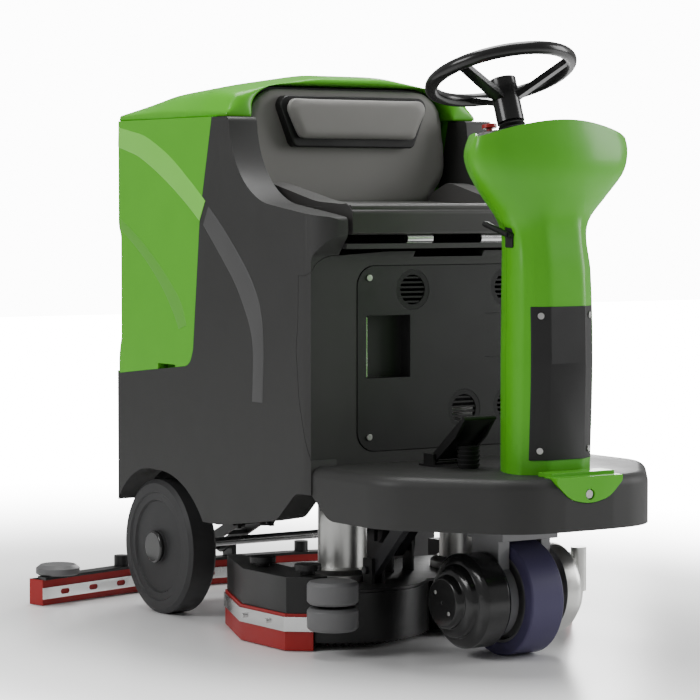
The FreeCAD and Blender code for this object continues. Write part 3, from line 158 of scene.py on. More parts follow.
def grain_group():
    """Fine mould grain with a slow mottling under it, shared by every moulded piece."""
    group = bpy.data.node_groups.new("mould_grain", "ShaderNodeTree")
    face = group.interface
    face.new_socket("Vector", in_out="INPUT", socket_type="NodeSocketVector")
    face.new_socket("Grain Scale", in_out="INPUT", socket_type="NodeSocketFloat")
    face.new_socket("Mottle Scale", in_out="INPUT", socket_type="NodeSocketFloat")
    face.new_socket("Height", in_out="OUTPUT", socket_type="NodeSocketFloat")
    face.new_socket("Mottle", in_out="OUTPUT", socket_type="NodeSocketFloat")
    start = group.nodes.new("NodeGroupInput")
    end = group.nodes.new("NodeGroupOutput")
    fine = group.nodes.new("ShaderNodeTexNoise")
    fine.inputs["Detail"].default_value = 3
    fine.inputs["Roughness"].default_value = 0.65
    slow = group.nodes.new("ShaderNodeTexNoise")
    slow.inputs["Detail"].default_value = 4
    slow.inputs["Roughness"].default_value = 0.6
    link = group.links.new
    link(start.outputs["Vector"], fine.inputs["Vector"])
    link(start.outputs["Vector"], slow.inputs["Vector"])
    link(start.outputs["Grain Scale"], fine.inputs["Scale"])
    link(start.outputs["Mottle Scale"], slow.inputs["Scale"])
    link(fine.outputs["Fac"], end.inputs["Height"])
    link(slow.outputs["Fac"], end.inputs["Mottle"])
    return group


MOULD_GRAIN = grain_group()
GRAIN_HEIGHT = 0.0006
GLOSS_SPREAD = 0.05
COAT_ROUGHNESS = 0.12
METAL_SPECULAR = 0.5
PLASTIC_SPECULAR = 0.36


def finish(name, dark, light, rough, grain=900, depth=0.12, mottle=9,
           metal=0.0, coat=0.0, stretch=None):
    """A surface between two tones, with grain in its bump and a slow change in its roughness."""
    made = bpy.data.materials.new(name)
    made.use_nodes = True
    tree = made.node_tree
    shader = tree.nodes["Principled BSDF"]
    shader.inputs["Metallic"].default_value = metal
    shader.inputs["Coat Weight"].default_value = coat
    shader.inputs["Coat Roughness"].default_value = COAT_ROUGHNESS
    shader.inputs["Specular IOR Level"].default_value = METAL_SPECULAR if metal else PLASTIC_SPECULAR
    where = tree.nodes.new("ShaderNodeTexCoord")
    grained = tree.nodes.new("ShaderNodeGroup")
    grained.node_tree = MOULD_GRAIN
    grained.inputs["Grain Scale"].default_value = grain
    grained.inputs["Mottle Scale"].default_value = mottle
    if stretch:
        lie = tree.nodes.new("ShaderNodeMapping")
        lie.inputs["Scale"].default_value = stretch
        tree.links.new(where.outputs["Object"], lie.inputs["Vector"])
        tree.links.new(lie.outputs["Vector"], grained.inputs["Vector"])
    else:
        tree.links.new(where.outputs["Object"], grained.inputs["Vector"])
    tones = tree.nodes.new("ShaderNodeMix")
    tones.data_type = "RGBA"
    tones.inputs["A"].default_value = (*dark, 1)
    tones.inputs["B"].default_value = (*light, 1)
    tree.links.new(grained.outputs["Mottle"], tones.inputs["Factor"])
    tree.links.new(tones.outputs["Result"], shader.inputs["Base Color"])
    gloss = tree.nodes.new("ShaderNodeMapRange")
    gloss.inputs["From Min"].default_value = 0.3
    gloss.inputs["From Max"].default_value = 0.7
    gloss.inputs["To Min"].default_value = rough - GLOSS_SPREAD
    gloss.inputs["To Max"].default_value = rough + GLOSS_SPREAD
    tree.links.new(grained.outputs["Mottle"], gloss.inputs["Value"])
    tree.links.new(gloss.outputs["Result"], shader.inputs["Roughness"])
    bump = tree.nodes.new("ShaderNodeBump")
    bump.inputs["Strength"].default_value = depth
    bump.inputs["Distance"].default_value = GRAIN_HEIGHT
    tree.links.new(grained.outputs["Height"], bump.inputs["Height"])
    tree.links.new(bump.outputs["Normal"], shader.inputs["Normal"])
    return made


def clear_selection():
    bpy.ops.object.select_all(action="DESELECT")


def work_on(part):
    clear_selection()
    part.select_set(True)
    bpy.context.view_layer.objects.active = part


def settle(part):
    """Puts the piece's place, turn and size into its mesh."""
    work_on(part)
    bpy.ops.object.transform_apply(location=True, rotation=True, scale=True)


def apply_modifiers(part):
    work_on(part)
    for modifier in list(part.modifiers):
        bpy.ops.object.modifier_apply(modifier=modifier.name)


SHARP_EDGE = 32


def soften(part, width, segments=3, angle=SHARP_EDGE):
    """Rounds the edges sharper than the angle and smooths what is left."""
    work_on(part)
    bpy.ops.object.shade_smooth_by_angle(angle=math.radians(angle))
    bevel = part.modifiers.new("edges", "BEVEL")
    bevel.width = width
    bevel.segments = segments
    bevel.limit_method = "ANGLE"
    bevel.angle_limit = math.radians(angle)
    bevel.use_clamp_overlap = True
    bevel.harden_normals = True
    apply_modifiers(part)


def edges_where(part, test):
    """Selects the edges that pass the test, ready for an edit-mode tool."""
    bpy.ops.mesh.select_mode(type="EDGE")
    bpy.ops.mesh.select_all(action="DESELECT")
    shape = bmesh.from_edit_mesh(part.data)
    chosen = 0
    for edge in shape.edges:
        if test(edge):
            edge.select = True
            chosen += 1
    bmesh.update_edit_mesh(part.data)
    return chosen


MERGE_GAP = 0.00004
FLAT_ENOUGH = 0.6


def merged_copy(node, name):
    """A copy of a CAD node with its loose triangles joined into one skin."""
    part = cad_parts[node].copy()
    part.data = part.data.copy()
    for key in list(part.keys()):
        del part[key]
    part.parent = None
    part.name = name
    bpy.context.scene.collection.objects.link(part)
    work_on(part)
    part.data.materials.clear()
    bpy.ops.object.mode_set(mode="EDIT")
    bpy.ops.mesh.select_all(action="SELECT")
    bpy.ops.mesh.customdata_custom_splitnormals_clear()
    bpy.ops.mesh.remove_doubles(threshold=MERGE_GAP)
    bpy.ops.mesh.dissolve_limited(angle_limit=math.radians(FLAT_ENOUGH))
    bpy.ops.object.mode_set(mode="OBJECT")
    return part


def built(name, points, faces):
    """A new piece from its points and faces."""
    data = bpy.data.meshes.new(name)
    data.from_pydata(points, [], faces)
    part = bpy.data.objects.new(name, data)
    bpy.context.scene.collection.objects.link(part)
    return part


def face_outwards(part):
    """Turns every face of a piece to the outside."""
    work_on(part)
    bpy.ops.object.mode_set(mode="EDIT")
    bpy.ops.mesh.select_all(action="SELECT")
    bpy.ops.mesh.normals_make_consistent(inside=False)
    bpy.ops.object.mode_set(mode="OBJECT")


def fit(part, body, slot, material, *nodes):
    """Gives a finished piece its material, the body it moves with and the nodes it stands for."""
    if material:
        part.data.materials.clear()
        part.data.materials.append(material)
    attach(part, body)
    if nodes:
        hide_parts(*nodes)
    return part


def casting(node, body, slot, material, width, segments, big=()):
    """The CAD node's own shape with its edges rounded: big holds (test, radius) pairs."""
    part = merged_copy(node, node + "_finished")
    bpy.ops.object.mode_set(mode="EDIT")
    for test, radius in big:
        if edges_where(part, test):
            bpy.ops.mesh.bevel(offset=radius, segments=4, affect="EDGES", clamp_overlap=True)
    bpy.ops.object.mode_set(mode="OBJECT")
    soften(part, width, segments)
    return fit(part, body, slot, material, node)


def smooth_line(points, steps):
    """Points along a smooth line through the given ones."""
    padded = [2 * Vector(points[0]) - Vector(points[1])] + [Vector(point) for point in points]
    padded.append(2 * Vector(points[-1]) - Vector(points[-2]))
    line = []
    for before, start, end, after in zip(padded, padded[1:], padded[2:], padded[3:]):
        for step in range(steps):
            t = step / steps
            line.append(0.5 * (2 * start + (end - before) * t
                               + (2 * before - 5 * start + 4 * end - after) * t * t
                               + (3 * start - before - 3 * end + after) * t ** 3))
    line.append(Vector(points[-1]))
    return line


BAND_STEPS = 8
BAND_ROOT = 0.0004


def raised_band(name, side, upper, lower, stand, slot, material):
    """A low raised band in the moulding's flank between two smooth lines of (y, z) points."""
    rails = list(zip(smooth_line(upper, BAND_STEPS), smooth_line(lower, BAND_STEPS)))
    across = [(0.0, -BAND_ROOT), (0.03, stand * 0.7), (0.08, stand),
              (0.92, stand), (0.97, stand * 0.7), (1.0, -BAND_ROOT)]
    points = []
    for above, below in rails:
        for share, proud in across:
            place = above.lerp(below, share)
            points.append((side * (SIDE_X + proud), place.x, place.y))
    wide = len(across)
    faces = []
    for row in range(len(rails) - 1):
        for column in range(wide - 1):
            first = row * wide + column
            faces.append((first, first + 1, first + wide + 1, first + wide))
    faces.append(tuple(range(wide)))
    faces.append(tuple(range(len(points) - wide, len(points))))
    faces.extend((row * wide, (row + 1) * wide, (row + 2) * wide - 1, (row + 1) * wide - 1)
                 for row in range(len(rails) - 1))
    part = built(name, points, faces)
    face_outwards(part)
    bpy.ops.object.shade_smooth_by_angle(angle=math.radians(50))
    return fit(part, "chassis", slot, material)


BODY_PLASTIC = finish("body_plastic", (0.027, 0.027, 0.026), (0.036, 0.036, 0.035), 0.5, 1300, 0.22)
# The band's colour is the body plastic painted lighter, a painted highlight for light catching the raised
# band. The band is the same dark plastic as the body.
BODY_BAND_PAINTED_HIGHLIGHT = finish("body_band_painted_highlight", (0.066, 0.066, 0.066), (0.08, 0.08, 0.08), 0.5, 1300, 0.22)
SIDE_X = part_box("main_body")[1].x
RIM_LOWEST = 0.80
RIM_REARMOST = 0.12
RIM_TURN = 0.6
RIM_RADIUS = 0.012
BAND_STAND = 0.0012
BODY_BAND_FRONT = [(0.133, 0.908), (0.068, 0.858), (0.0, 0.798), (-0.047, 0.747),
                   (-0.077, 0.692), (-0.088, 0.62), (-0.084, 0.5)]
BODY_BAND_BACK = [(0.156, 0.867), (0.092, 0.809), (0.03, 0.749), (-0.008, 0.698),
                  (-0.035, 0.65), (-0.046, 0.6), (-0.042, 0.5)]


def on_outer_rim(edge):
    """The body's outer edge along the armrest and the concave shoulder."""
    ends = [corner.co for corner in edge.verts]
    outside = all(abs(abs(end.x) - SIDE_X) < 0.001 for end in ends)
    high = all(end.z > RIM_LOWEST for end in ends)
    ahead = all(end.y < RIM_REARMOST for end in ends)
    return outside and high and ahead and edge.calc_face_angle(0) > RIM_TURN


casting("main_body", "chassis", "dark_moulding", BODY_PLASTIC, 0.003, 3, big=[(on_outer_rim, RIM_RADIUS)])
for side, hand in ((-1, "right"), (1, "left")):
    raised_band("body_band_" + hand, side, BODY_BAND_FRONT, BODY_BAND_BACK,
                BAND_STAND, "dark_moulding", BODY_BAND_PAINTED_HIGHLIGHT)


# ------------------------------------------------------------ recovery tank and lid
# The green rear tank and its hinged lid, both rotomoulded in pigmented polyethylene that is
# smoother and glossier than the body. Each flank carries a low raised band and a raised sweep in
# the same green. The band is painted paler as a painted highlight, and the sweep is painted darker as
# painted shade.

GREEN_PLASTIC = finish("green_plastic", (0.085, 0.42, 0.010), (0.10, 0.47, 0.016),
                       0.36, 1400, 0.08, coat=0.1)
# The band is the tank's green painted paler, a painted highlight where light catches the band.
GREEN_BAND_PAINTED_HIGHLIGHT = finish("green_band_painted_highlight", (0.20, 0.66, 0.07), (0.23, 0.70, 0.09),
                    0.36, 1400, 0.08, coat=0.1)
# The sweep is the tank's green painted darker, painted shade over the sweep.
GREEN_SWEEP_PAINTED_SHADE = finish("green_sweep_painted_shade", (0.10, 0.39, 0.035), (0.12, 0.42, 0.045),
                     0.4, 1400, 0.08)
casting("recovery_tank", "chassis", "green_moulding", GREEN_PLASTIC, 0.003, 3)

LID_VOXEL = 0.0045
LID_CROWN_START = 1.112
LID_CROWN_FULL = 1.135
LID_CROWN_PASSES = 140
LID_SKIN_PASSES = 3
lid = merged_copy("tank_lid", "tank_lid_skin")
lid.data.remesh_voxel_size = LID_VOXEL
work_on(lid)
bpy.ops.object.voxel_remesh()
crown = lid.vertex_groups.new(name="crown")
for corner in lid.data.vertices:
    rise = (corner.co.z - LID_CROWN_START) / (LID_CROWN_FULL - LID_CROWN_START)
    crown.add([corner.index], min(1.0, max(0.0, rise)), "REPLACE")
soft_crown = lid.modifiers.new("soft_crown", "SMOOTH")
soft_crown.iterations = LID_CROWN_PASSES
soft_crown.factor = 0.5
soft_crown.vertex_group = "crown"
even_skin = lid.modifiers.new("even_skin", "SMOOTH")
even_skin.iterations = LID_SKIN_PASSES
even_skin.factor = 0.5
apply_modifiers(lid)
lid.vertex_groups.clear()
bpy.ops.object.shade_smooth()
fit(lid, "tank_lid", "green_moulding", GREEN_PLASTIC, "tank_lid")

TANK_BAND_TOP = [(0.528, 1.085), (0.478, 1.077), (0.40, 1.061),
                 (0.30, 1.018), (0.21, 0.963), (0.147, 0.92)]
TANK_BAND_FOOT = [(0.530, 1.040), (0.49, 1.031), (0.43, 1.015),
                  (0.336, 0.973), (0.245, 0.923), (0.172, 0.876)]
TANK_SWEEP_TOP = [(0.52, 0.88), (0.45, 0.845), (0.38, 0.803),
                  (0.31, 0.752), (0.255, 0.702), (0.228, 0.65)]
TANK_SWEEP_FOOT = [(0.52, 0.855), (0.46, 0.822), (0.40, 0.783),
                   (0.335, 0.73), (0.29, 0.68), (0.262, 0.64)]
SWEEP_STAND = 0.0008
for side, hand in ((-1, "right"), (1, "left")):
    raised_band("tank_band_" + hand, side, TANK_BAND_TOP, TANK_BAND_FOOT,
                BAND_STAND, "green_moulding", GREEN_BAND_PAINTED_HIGHLIGHT)
    raised_band("tank_sweep_" + hand, side, TANK_SWEEP_TOP, TANK_SWEEP_FOOT,
                SWEEP_STAND, "green_moulding", GREEN_SWEEP_PAINTED_SHADE)


# ------------------------------------------------------------ front base and access panel
# The dark platform that the driver's feet rest on, with the rounded step edge, and the black
# screwed panel on the front of the seat box with its pull cup and document tray.

BLACK_PLASTIC = finish("black_plastic", (0.010, 0.010, 0.010), (0.016, 0.016, 0.016), 0.34, 1500, 0.12)
PANEL_PLASTIC = finish("panel_plastic", (0.016, 0.016, 0.016), (0.022, 0.022, 0.022), 0.42, 1500, 0.16)
ZINC = finish("zinc_plate", (0.56, 0.56, 0.54), (0.68, 0.68, 0.66), 0.34, 600, 0.10, 40, metal=1.0)
BRIGHT_STEEL = finish("bright_steel", (0.62, 0.62, 0.62), (0.74, 0.74, 0.73),
                      0.24, 500, 0.10, 25, metal=1.0, stretch=(1, 0.08, 1))
casting("front_base", "chassis", "dark_moulding", BODY_PLASTIC, 0.004, 4)
casting("base_flap", "chassis", "green_moulding", GREEN_PLASTIC, 0.004, 4)
casting("access_panel", "chassis", "panel_plastic", PANEL_PLASTIC, 0.0015, 3)
casting("panel_vents", "chassis", "black_plastic", BLACK_PLASTIC, 0.0008, 2)
casting("latch_plate", "chassis", "bright_steel", BRIGHT_STEEL, 0.0006, 2)
casting("cover_screws", "chassis", "zinc", ZINC, 0.0004, 2)


# ------------------------------------------------------------ seat
# A moulded soft-skin seat base on a hinged shell over the battery bay, with separate foam
# back and head pads in grey coated fabric, each pressed into its own black shell.

def crease_group():
    """Fine leather-like cells as height, and a slow noise as tone."""
    group = bpy.data.node_groups.new("coated_cloth", "ShaderNodeTree")
    face = group.interface
    face.new_socket("Vector", in_out="INPUT", socket_type="NodeSocketVector")
    face.new_socket("Cell Scale", in_out="INPUT", socket_type="NodeSocketFloat")
    face.new_socket("Height", in_out="OUTPUT", socket_type="NodeSocketFloat")
    face.new_socket("Tone", in_out="OUTPUT", socket_type="NodeSocketFloat")
    start = group.nodes.new("NodeGroupInput")
    end = group.nodes.new("NodeGroupOutput")
    cells = group.nodes.new("ShaderNodeTexVoronoi")
    cells.feature = "DISTANCE_TO_EDGE"
    wear = group.nodes.new("ShaderNodeTexNoise")
    wear.inputs["Scale"].default_value = 7
    wear.inputs["Detail"].default_value = 5
    link = group.links.new
    link(start.outputs["Vector"], cells.inputs["Vector"])
    link(start.outputs["Vector"], wear.inputs["Vector"])
    link(start.outputs["Cell Scale"], cells.inputs["Scale"])
    link(cells.outputs["Distance"], end.inputs["Height"])
    link(wear.outputs["Fac"], end.inputs["Tone"])
    return group


COATED_CLOTH = crease_group()


def pad_skin(name, dark, light, rough, cells):
    """Coated seat fabric with leather-like cells and a soft sheen."""
    made = bpy.data.materials.new(name)
    made.use_nodes = True
    tree = made.node_tree
    shader = tree.nodes["Principled BSDF"]
    shader.inputs["Roughness"].default_value = rough
    shader.inputs["Sheen Weight"].default_value = 0.15
    where = tree.nodes.new("ShaderNodeTexCoord")
    skin = tree.nodes.new("ShaderNodeGroup")
    skin.node_tree = COATED_CLOTH
    skin.inputs["Cell Scale"].default_value = cells
    tones = tree.nodes.new("ShaderNodeMix")
    tones.data_type = "RGBA"
    tones.inputs["A"].default_value = (*dark, 1)
    tones.inputs["B"].default_value = (*light, 1)
    bump = tree.nodes.new("ShaderNodeBump")
    bump.inputs["Strength"].default_value = 0.35
    bump.inputs["Distance"].default_value = 0.0005
    tree.links.new(where.outputs["Object"], skin.inputs["Vector"])
    tree.links.new(skin.outputs["Tone"], tones.inputs["Factor"])
    tree.links.new(tones.outputs["Result"], shader.inputs["Base Color"])
    tree.links.new(skin.outputs["Height"], bump.inputs["Height"])
    tree.links.new(bump.outputs["Normal"], shader.inputs["Normal"])
    return made


PAD_GREY = pad_skin("pad_grey", (0.19, 0.185, 0.174), (0.228, 0.222, 0.21), 0.6, 420)
PAD_DARK = pad_skin("pad_dark", (0.018, 0.017, 0.016), (0.026, 0.024, 0.023), 0.36, 420)
casting("seat_deck", "seat", "pad_dark", PAD_DARK, 0.006, 4)
casting("backrest_shell", "chassis", "black_plastic", BLACK_PLASTIC, 0.004, 4)
casting("headrest_shell", "chassis", "black_plastic", BLACK_PLASTIC, 0.004, 4)
casting("seat_hinges", "seat", "bright_steel", BRIGHT_STEEL, 0.0008, 2)

PAD_START = (0.985, 0.9, 0.985, 1)
PAD_VOXEL = 0.005
PAD_PRESSURE = 3
PAD_FRAMES = 20
PAD_SWELL = 0.006
EDGE_PULL = 0.0015
BACK_SWELL = 0.0005


def stuffed(node, body, slot, material):
    """Blows a pad up as cloth from a slightly smaller shape, flat where it lies in its shell."""
    part = merged_copy(node, node + "_cushion")
    low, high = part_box(node)
    centre = (low + high) / 2
    thin = Matrix.Diagonal(PAD_START)
    part.data.transform(Matrix.Translation(centre) @ thin @ Matrix.Translation(-centre))
    part.data.remesh_voxel_size = PAD_VOXEL
    work_on(part)
    bpy.ops.object.voxel_remesh()
    rest = [corner.co.copy() for corner in part.data.vertices]
    cloth = part.modifiers.new("cloth", "CLOTH")
    cloth.settings.use_pressure = True
    cloth.settings.uniform_pressure_force = PAD_PRESSURE
    cloth.settings.effector_weights.gravity = 0
    cloth.point_cache.frame_start = 1
    cloth.point_cache.frame_end = PAD_FRAMES
    for frame_number in range(1, PAD_FRAMES + 1):
        bpy.context.scene.frame_set(frame_number)
    apply_modifiers(part)
    bpy.context.scene.frame_set(1)
    for corner, start in zip(part.data.vertices, rest):
        moved = corner.co - start
        pull = math.hypot(moved.x, moved.z)
        if pull > EDGE_PULL:
            moved.x *= EDGE_PULL / pull
            moved.z *= EDGE_PULL / pull
        moved.y = max(-PAD_SWELL, min(PAD_SWELL, moved.y))
        corner.co = start + moved
        if start.y > centre.y:
            corner.co.y = min(corner.co.y, start.y + BACK_SWELL)
    smooth = part.modifiers.new("even", "SMOOTH")
    smooth.iterations = 6
    smooth.factor = 0.5
    finer = part.modifiers.new("finer", "SUBSURF")
    finer.levels = 1
    finer.render_levels = 1
    apply_modifiers(part)
    bpy.ops.object.shade_smooth()
    fit(part, body, slot, material, node)


stuffed("backrest_pad", "chassis", "pad_grey", PAD_GREY)
stuffed("headrest_pad", "chassis", "pad_grey", PAD_GREY)


# ------------------------------------------------------------ steering column
# Two smooth green covers close round the steel column and meet in a seam at its sides. They
# swell into a bowl under the dash, with a brow that arches over the controls. A black
# faceted panel is screwed to the front, and the direction lever comes out of the right side.

STEER_AXIS_Y = -0.4923
COLUMN_SEAM_Y = -0.5763
COLUMN_FOOT = 0.380
COVER_WALL = 0.005
COVER_JOIN = 0.00005
SEAM_GAP = 0.0012
FACET_HALF = 0.0432
BOWL_START = 0.86
BOWL_RISE = 0.07
TUCK_START = 1.0
TUCK_RISE = 0.07
TUCK_SHARE = 0.20
CORNER_STEPS = 5
# height, half width, reach ahead of the steering axis, reach behind it, flare of the front corner
COLUMN_SHAPE = [
    (0.380, 0.090, 0.170, 0.002, 0.000), (0.600, 0.091, 0.176, 0.002, 0.000),
    (0.780, 0.088, 0.172, 0.002, 0.000), (0.850, 0.086, 0.160, 0.000, 0.000),
    (0.885, 0.100, 0.158, -0.006, 0.004), (0.930, 0.142, 0.168, -0.022, 0.012),
    (0.975, 0.180, 0.180, -0.034, 0.018), (1.012, 0.192, 0.184, -0.042, 0.022),
    (1.045, 0.189, 0.181, -0.046, 0.022), (1.090, 0.168, 0.170, -0.046, 0.020)]


def column_section(height):
    """Width, reach and flare of the column at one height, read smoothly between its stations."""
    before = max(k for k in range(len(COLUMN_SHAPE) - 1) if k == 0 or COLUMN_SHAPE[k][0] <= height)
    low = COLUMN_SHAPE[before]
    high = COLUMN_SHAPE[before + 1]
    share = min(1.0, max(0.0, (height - low[0]) / (high[0] - low[0])))
    under = COLUMN_SHAPE[max(before - 1, 0)]
    over = COLUMN_SHAPE[min(before + 2, len(COLUMN_SHAPE) - 1)]
    values = []
    for k in range(1, 5):
        rise = high[0] - low[0]
        slope_low = (high[k] - under[k]) / (high[0] - under[0]) * rise
        slope_high = (over[k] - low[k]) / (over[0] - low[0]) * rise
        t = share
        values.append((2 * t ** 3 - 3 * t ** 2 + 1) * low[k] + (t ** 3 - 2 * t ** 2 + t) * slope_low
                      + (3 * t ** 2 - 2 * t ** 3) * high[k] + (t ** 3 - t ** 2) * slope_high)
    return values


def column_outline(height, inset=0.0):
    """The plan at one height as an even ring: three soft facets ahead and a round back."""
    half, front, back, flare = column_section(height)
    near = STEER_AXIS_Y - front + inset
    far = STEER_AXIS_Y - back - inset
    wide = half - inset
    edge = min(wide - 0.012, 0.78 * wide)
    tuck = 1 - TUCK_SHARE * min(1.0, max(0.0, (height - TUCK_START) / TUCK_RISE)) ** 1.5
    right = [(FACET_HALF, near), (edge, near + 0.017 + flare * 0.3), (wide, near + 0.034 + flare),
             ((wide - flare * 0.2) * tuck, near + 0.080 + flare * 0.6),
             (wide * 0.62 * tuck, far - 0.022), (wide * 0.25, far)]
    corners = right + [(-x, y) for x, y in reversed(right)]
    bowl = min(1.0, max(0.0, (height - BOWL_START) / BOWL_RISE))
    softness = [0.16 + 0.32 * bowl, 0.2 + 0.18 * bowl, 0.3 + 0.06 * bowl, 0.45, 0.48, 0.48]
    softness = softness + list(reversed(softness))
    ring = []
    for number, corner in enumerate(corners):
        here = Vector(corner)
        last = Vector(corners[number - 1])
        following = Vector(corners[(number + 1) % len(corners)])
        start = here.lerp(last, softness[number])
        end = here.lerp(following, softness[number])
        for step in range(CORNER_STEPS + 1):
            t = step / CORNER_STEPS
            ring.append(start.lerp(here, t).lerp(here.lerp(end, t), t))
    return ring


DASH_HEIGHT = 1.060
DASH_AHEAD = 0.060
DASH_SLOPE = 0.167
BROW_START = -0.56
BROW_RUN = 0.06
BROW_ARCH = 0.85
SHOULDER_START = 0.08
SHOULDER_DROP = 2.2


def brow(x, y):
    """Height of the column's top edge: the dash plane, arched ahead and falling off at the sides."""
    plane = DASH_HEIGHT + DASH_SLOPE * (STEER_AXIS_Y - DASH_AHEAD - y)
    ahead = min(1.0, max(0.0, (BROW_START - y) / BROW_RUN))
    arch = BROW_ARCH * x * x
    shoulder = SHOULDER_DROP * max(0.0, abs(x) - SHOULDER_START) ** 2
    return plane - arch * ahead - shoulder * (1 - ahead)


ROWS = 64
outline_tops = [brow(place.x, place.y) for place in column_outline(1.062)]
ring_size = len(outline_tops)
skin_points = []
for row in range(ROWS + 1):
    share = row / ROWS
    for number in range(ring_size):
        height = COLUMN_FOOT + share * (outline_tops[number] - COLUMN_FOOT)
        skin_points.append((number, height))
outline_at = {}
for number, height in skin_points:
    key = round(height, 4)
    if key not in outline_at:
        outline_at[key] = column_outline(key)
skin_places = [(*outline_at[round(height, 4)][number], height) for number, height in skin_points]
skin_faces = []
for row in range(ROWS):
    for number in range(ring_size):
        beside = (number + 1) % ring_size
        skin_faces.append((row * ring_size + number, row * ring_size + beside,
                           (row + 1) * ring_size + beside, (row + 1) * ring_size + number))


def column_cover(name, node, ahead):
    """One half of the column skin, cut at the seam and given its wall."""
    part = built(name, skin_places, skin_faces)
    work_on(part)
    bpy.ops.object.mode_set(mode="EDIT")
    bpy.ops.mesh.select_all(action="SELECT")
    bpy.ops.mesh.remove_doubles(threshold=COVER_JOIN)
    bpy.ops.mesh.select_all(action="SELECT")
    cut = (0, COLUMN_SEAM_Y if ahead else COLUMN_SEAM_Y + SEAM_GAP, 0)
    bpy.ops.mesh.bisect(plane_co=cut, plane_no=(0, 1, 0), clear_outer=ahead, clear_inner=not ahead)
    bpy.ops.object.mode_set(mode="OBJECT")
    face_outwards(part)
    middle_y = STEER_AXIS_Y - 0.08
    outward = sum(1 if face.normal.dot(Vector((face.center.x, face.center.y - middle_y, 0))) > 0 else -1
                  for face in part.data.polygons)
    wall = part.modifiers.new("wall", "SOLIDIFY")
    wall.thickness = COVER_WALL
    wall.offset = -1 if outward > 0 else 1
    wall.use_even_offset = False
    apply_modifiers(part)
    face_outwards(part)
    soften(part, 0.0014, 3, 50)
    return fit(part, "chassis", "green_moulding", GREEN_PLASTIC, node)


column_cover("column_front_cover_skin", "column_front_cover", True)
column_cover("column_rear_cover_skin", "column_rear_cover", False)
casting("column_panel", "chassis", "black_plastic", PANEL_PLASTIC, 0.0015, 3)
casting("column_lever", "column_lever", "black_plastic", BLACK_PLASTIC, 0.001, 2)

PLATE_DROP = 0.0022
PLATE_INSET = 0.004
PLATE_WALL = 0.003
PLATE_RINGS = 6
PLATE_CENTRE_AHEAD = 0.055
plate_ring = [column_outline(top - PLATE_DROP, PLATE_INSET)[number]
              for number, top in enumerate(outline_tops)]
plate_centre = Vector((0, STEER_AXIS_Y - PLATE_CENTRE_AHEAD))
plate_points = [(plate_centre.x, plate_centre.y, brow(*plate_centre) - PLATE_DROP)]
plate_faces = []
for lap in range(1, PLATE_RINGS + 1):
    for number, place in enumerate(plate_ring):
        at = plate_centre.lerp(place, lap / PLATE_RINGS)
        plate_points.append((at.x, at.y, brow(at.x, at.y) - PLATE_DROP))
for number in range(ring_size):
    beside = (number + 1) % ring_size
    plate_faces.append((0, 1 + number, 1 + beside))
    for lap in range(PLATE_RINGS - 1):
        inner = 1 + lap * ring_size
        outer = inner + ring_size
        plate_faces.append((inner + number, outer + number, outer + beside, inner + beside))
dash_plate = built("dash_plate", plate_points, plate_faces)
work_on(dash_plate)
bpy.ops.object.mode_set(mode="EDIT")
bpy.ops.mesh.select_all(action="SELECT")
bpy.ops.mesh.remove_doubles(threshold=COVER_JOIN)
bpy.ops.object.mode_set(mode="OBJECT")
plate_wall = dash_plate.modifiers.new("wall", "SOLIDIFY")
plate_wall.thickness = PLATE_WALL
plate_wall.offset = 0
apply_modifiers(dash_plate)
face_outwards(dash_plate)
soften(dash_plate, 0.0008, 2, 50)
fit(dash_plate, "chassis", "black_plastic", BLACK_PLASTIC, "dash_panel")

# the moulded rubber gaiter that the lever comes out of
GAITER_PLACE = (-0.0865, -0.5905, 0.850)
GAITER_SIZE = (0.007, 0.024, 0.046)
GAITER_EDGE = 0.0034
BLACK_RUBBER = finish("black_rubber", (0.010, 0.010, 0.010), (0.015, 0.015, 0.015), 0.6, 1100, 0.25)
clear_selection()
bpy.ops.mesh.primitive_cube_add(size=1, location=GAITER_PLACE)
lever_gaiter = bpy.context.object
lever_gaiter.name = "lever_gaiter"
lever_gaiter.scale = GAITER_SIZE
settle(lever_gaiter)
soften(lever_gaiter, GAITER_EDGE, 4)
fit(lever_gaiter, "chassis", "black_rubber", BLACK_RUBBER)


# ------------------------------------------------------------ dash controls
# A key switch, a red mushroom stop button and a black horn button in the dash plate.

RED_PLASTIC = finish("red_plastic", (0.42, 0.012, 0.010), (0.50, 0.018, 0.014), 0.28, 900, 0.06, coat=0.4)
casting("key_switch", "key_switch", "bright_steel", BRIGHT_STEEL, 0.0005, 2)
casting("emergency_button", "emergency_button", "red_plastic", RED_PLASTIC, 0.0012, 3)
casting("horn_button", "horn_button", "black_plastic", BLACK_PLASTIC, 0.0006, 2)


# ------------------------------------------------------------ steering wheel and boot
# A three-spoke wheel moulded over a steel armature, glossy with handling, on a plain shaft
# that comes up through a black rubber boot.

WHEEL_SKIN = finish("steering_wheel_skin", (0.008, 0.008, 0.008), (0.013, 0.013, 0.013),
                    0.26, 1200, 0.08, coat=0.3)
casting("steering_wheel", "steering", "black_plastic", WHEEL_SKIN, 0.0012, 2)
casting("steering_shaft", "steering", "bright_steel", BRIGHT_STEEL, 0.0006, 2)
casting("steering_boot", "chassis", "black_rubber", BLACK_RUBBER, 0.001, 2)


# ------------------------------------------------------------ pedal
# The black treadle pedal on its bent steel bracket, with a rubber bellows under it.

BLACK_PAINT = finish("black_paint", (0.010, 0.010, 0.010), (0.016, 0.016, 0.016), 0.36, 500, 0.10, 14)
casting("pedal", "pedal", "black_plastic", BLACK_PLASTIC, 0.001, 2)
casting("pedal_bracket", "chassis", "black_paint", BLACK_PAINT, 0.0008, 2)
bellows = casting("pedal_bellows", "chassis", "black_rubber", BLACK_RUBBER, 0.0008, 2)
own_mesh(bellows)


# ------------------------------------------------------------ chassis and inner units
# The welded steel frame in dark grey powder coat, with the batteries, vacuum motor and
# controller that stand on it under the mouldings.

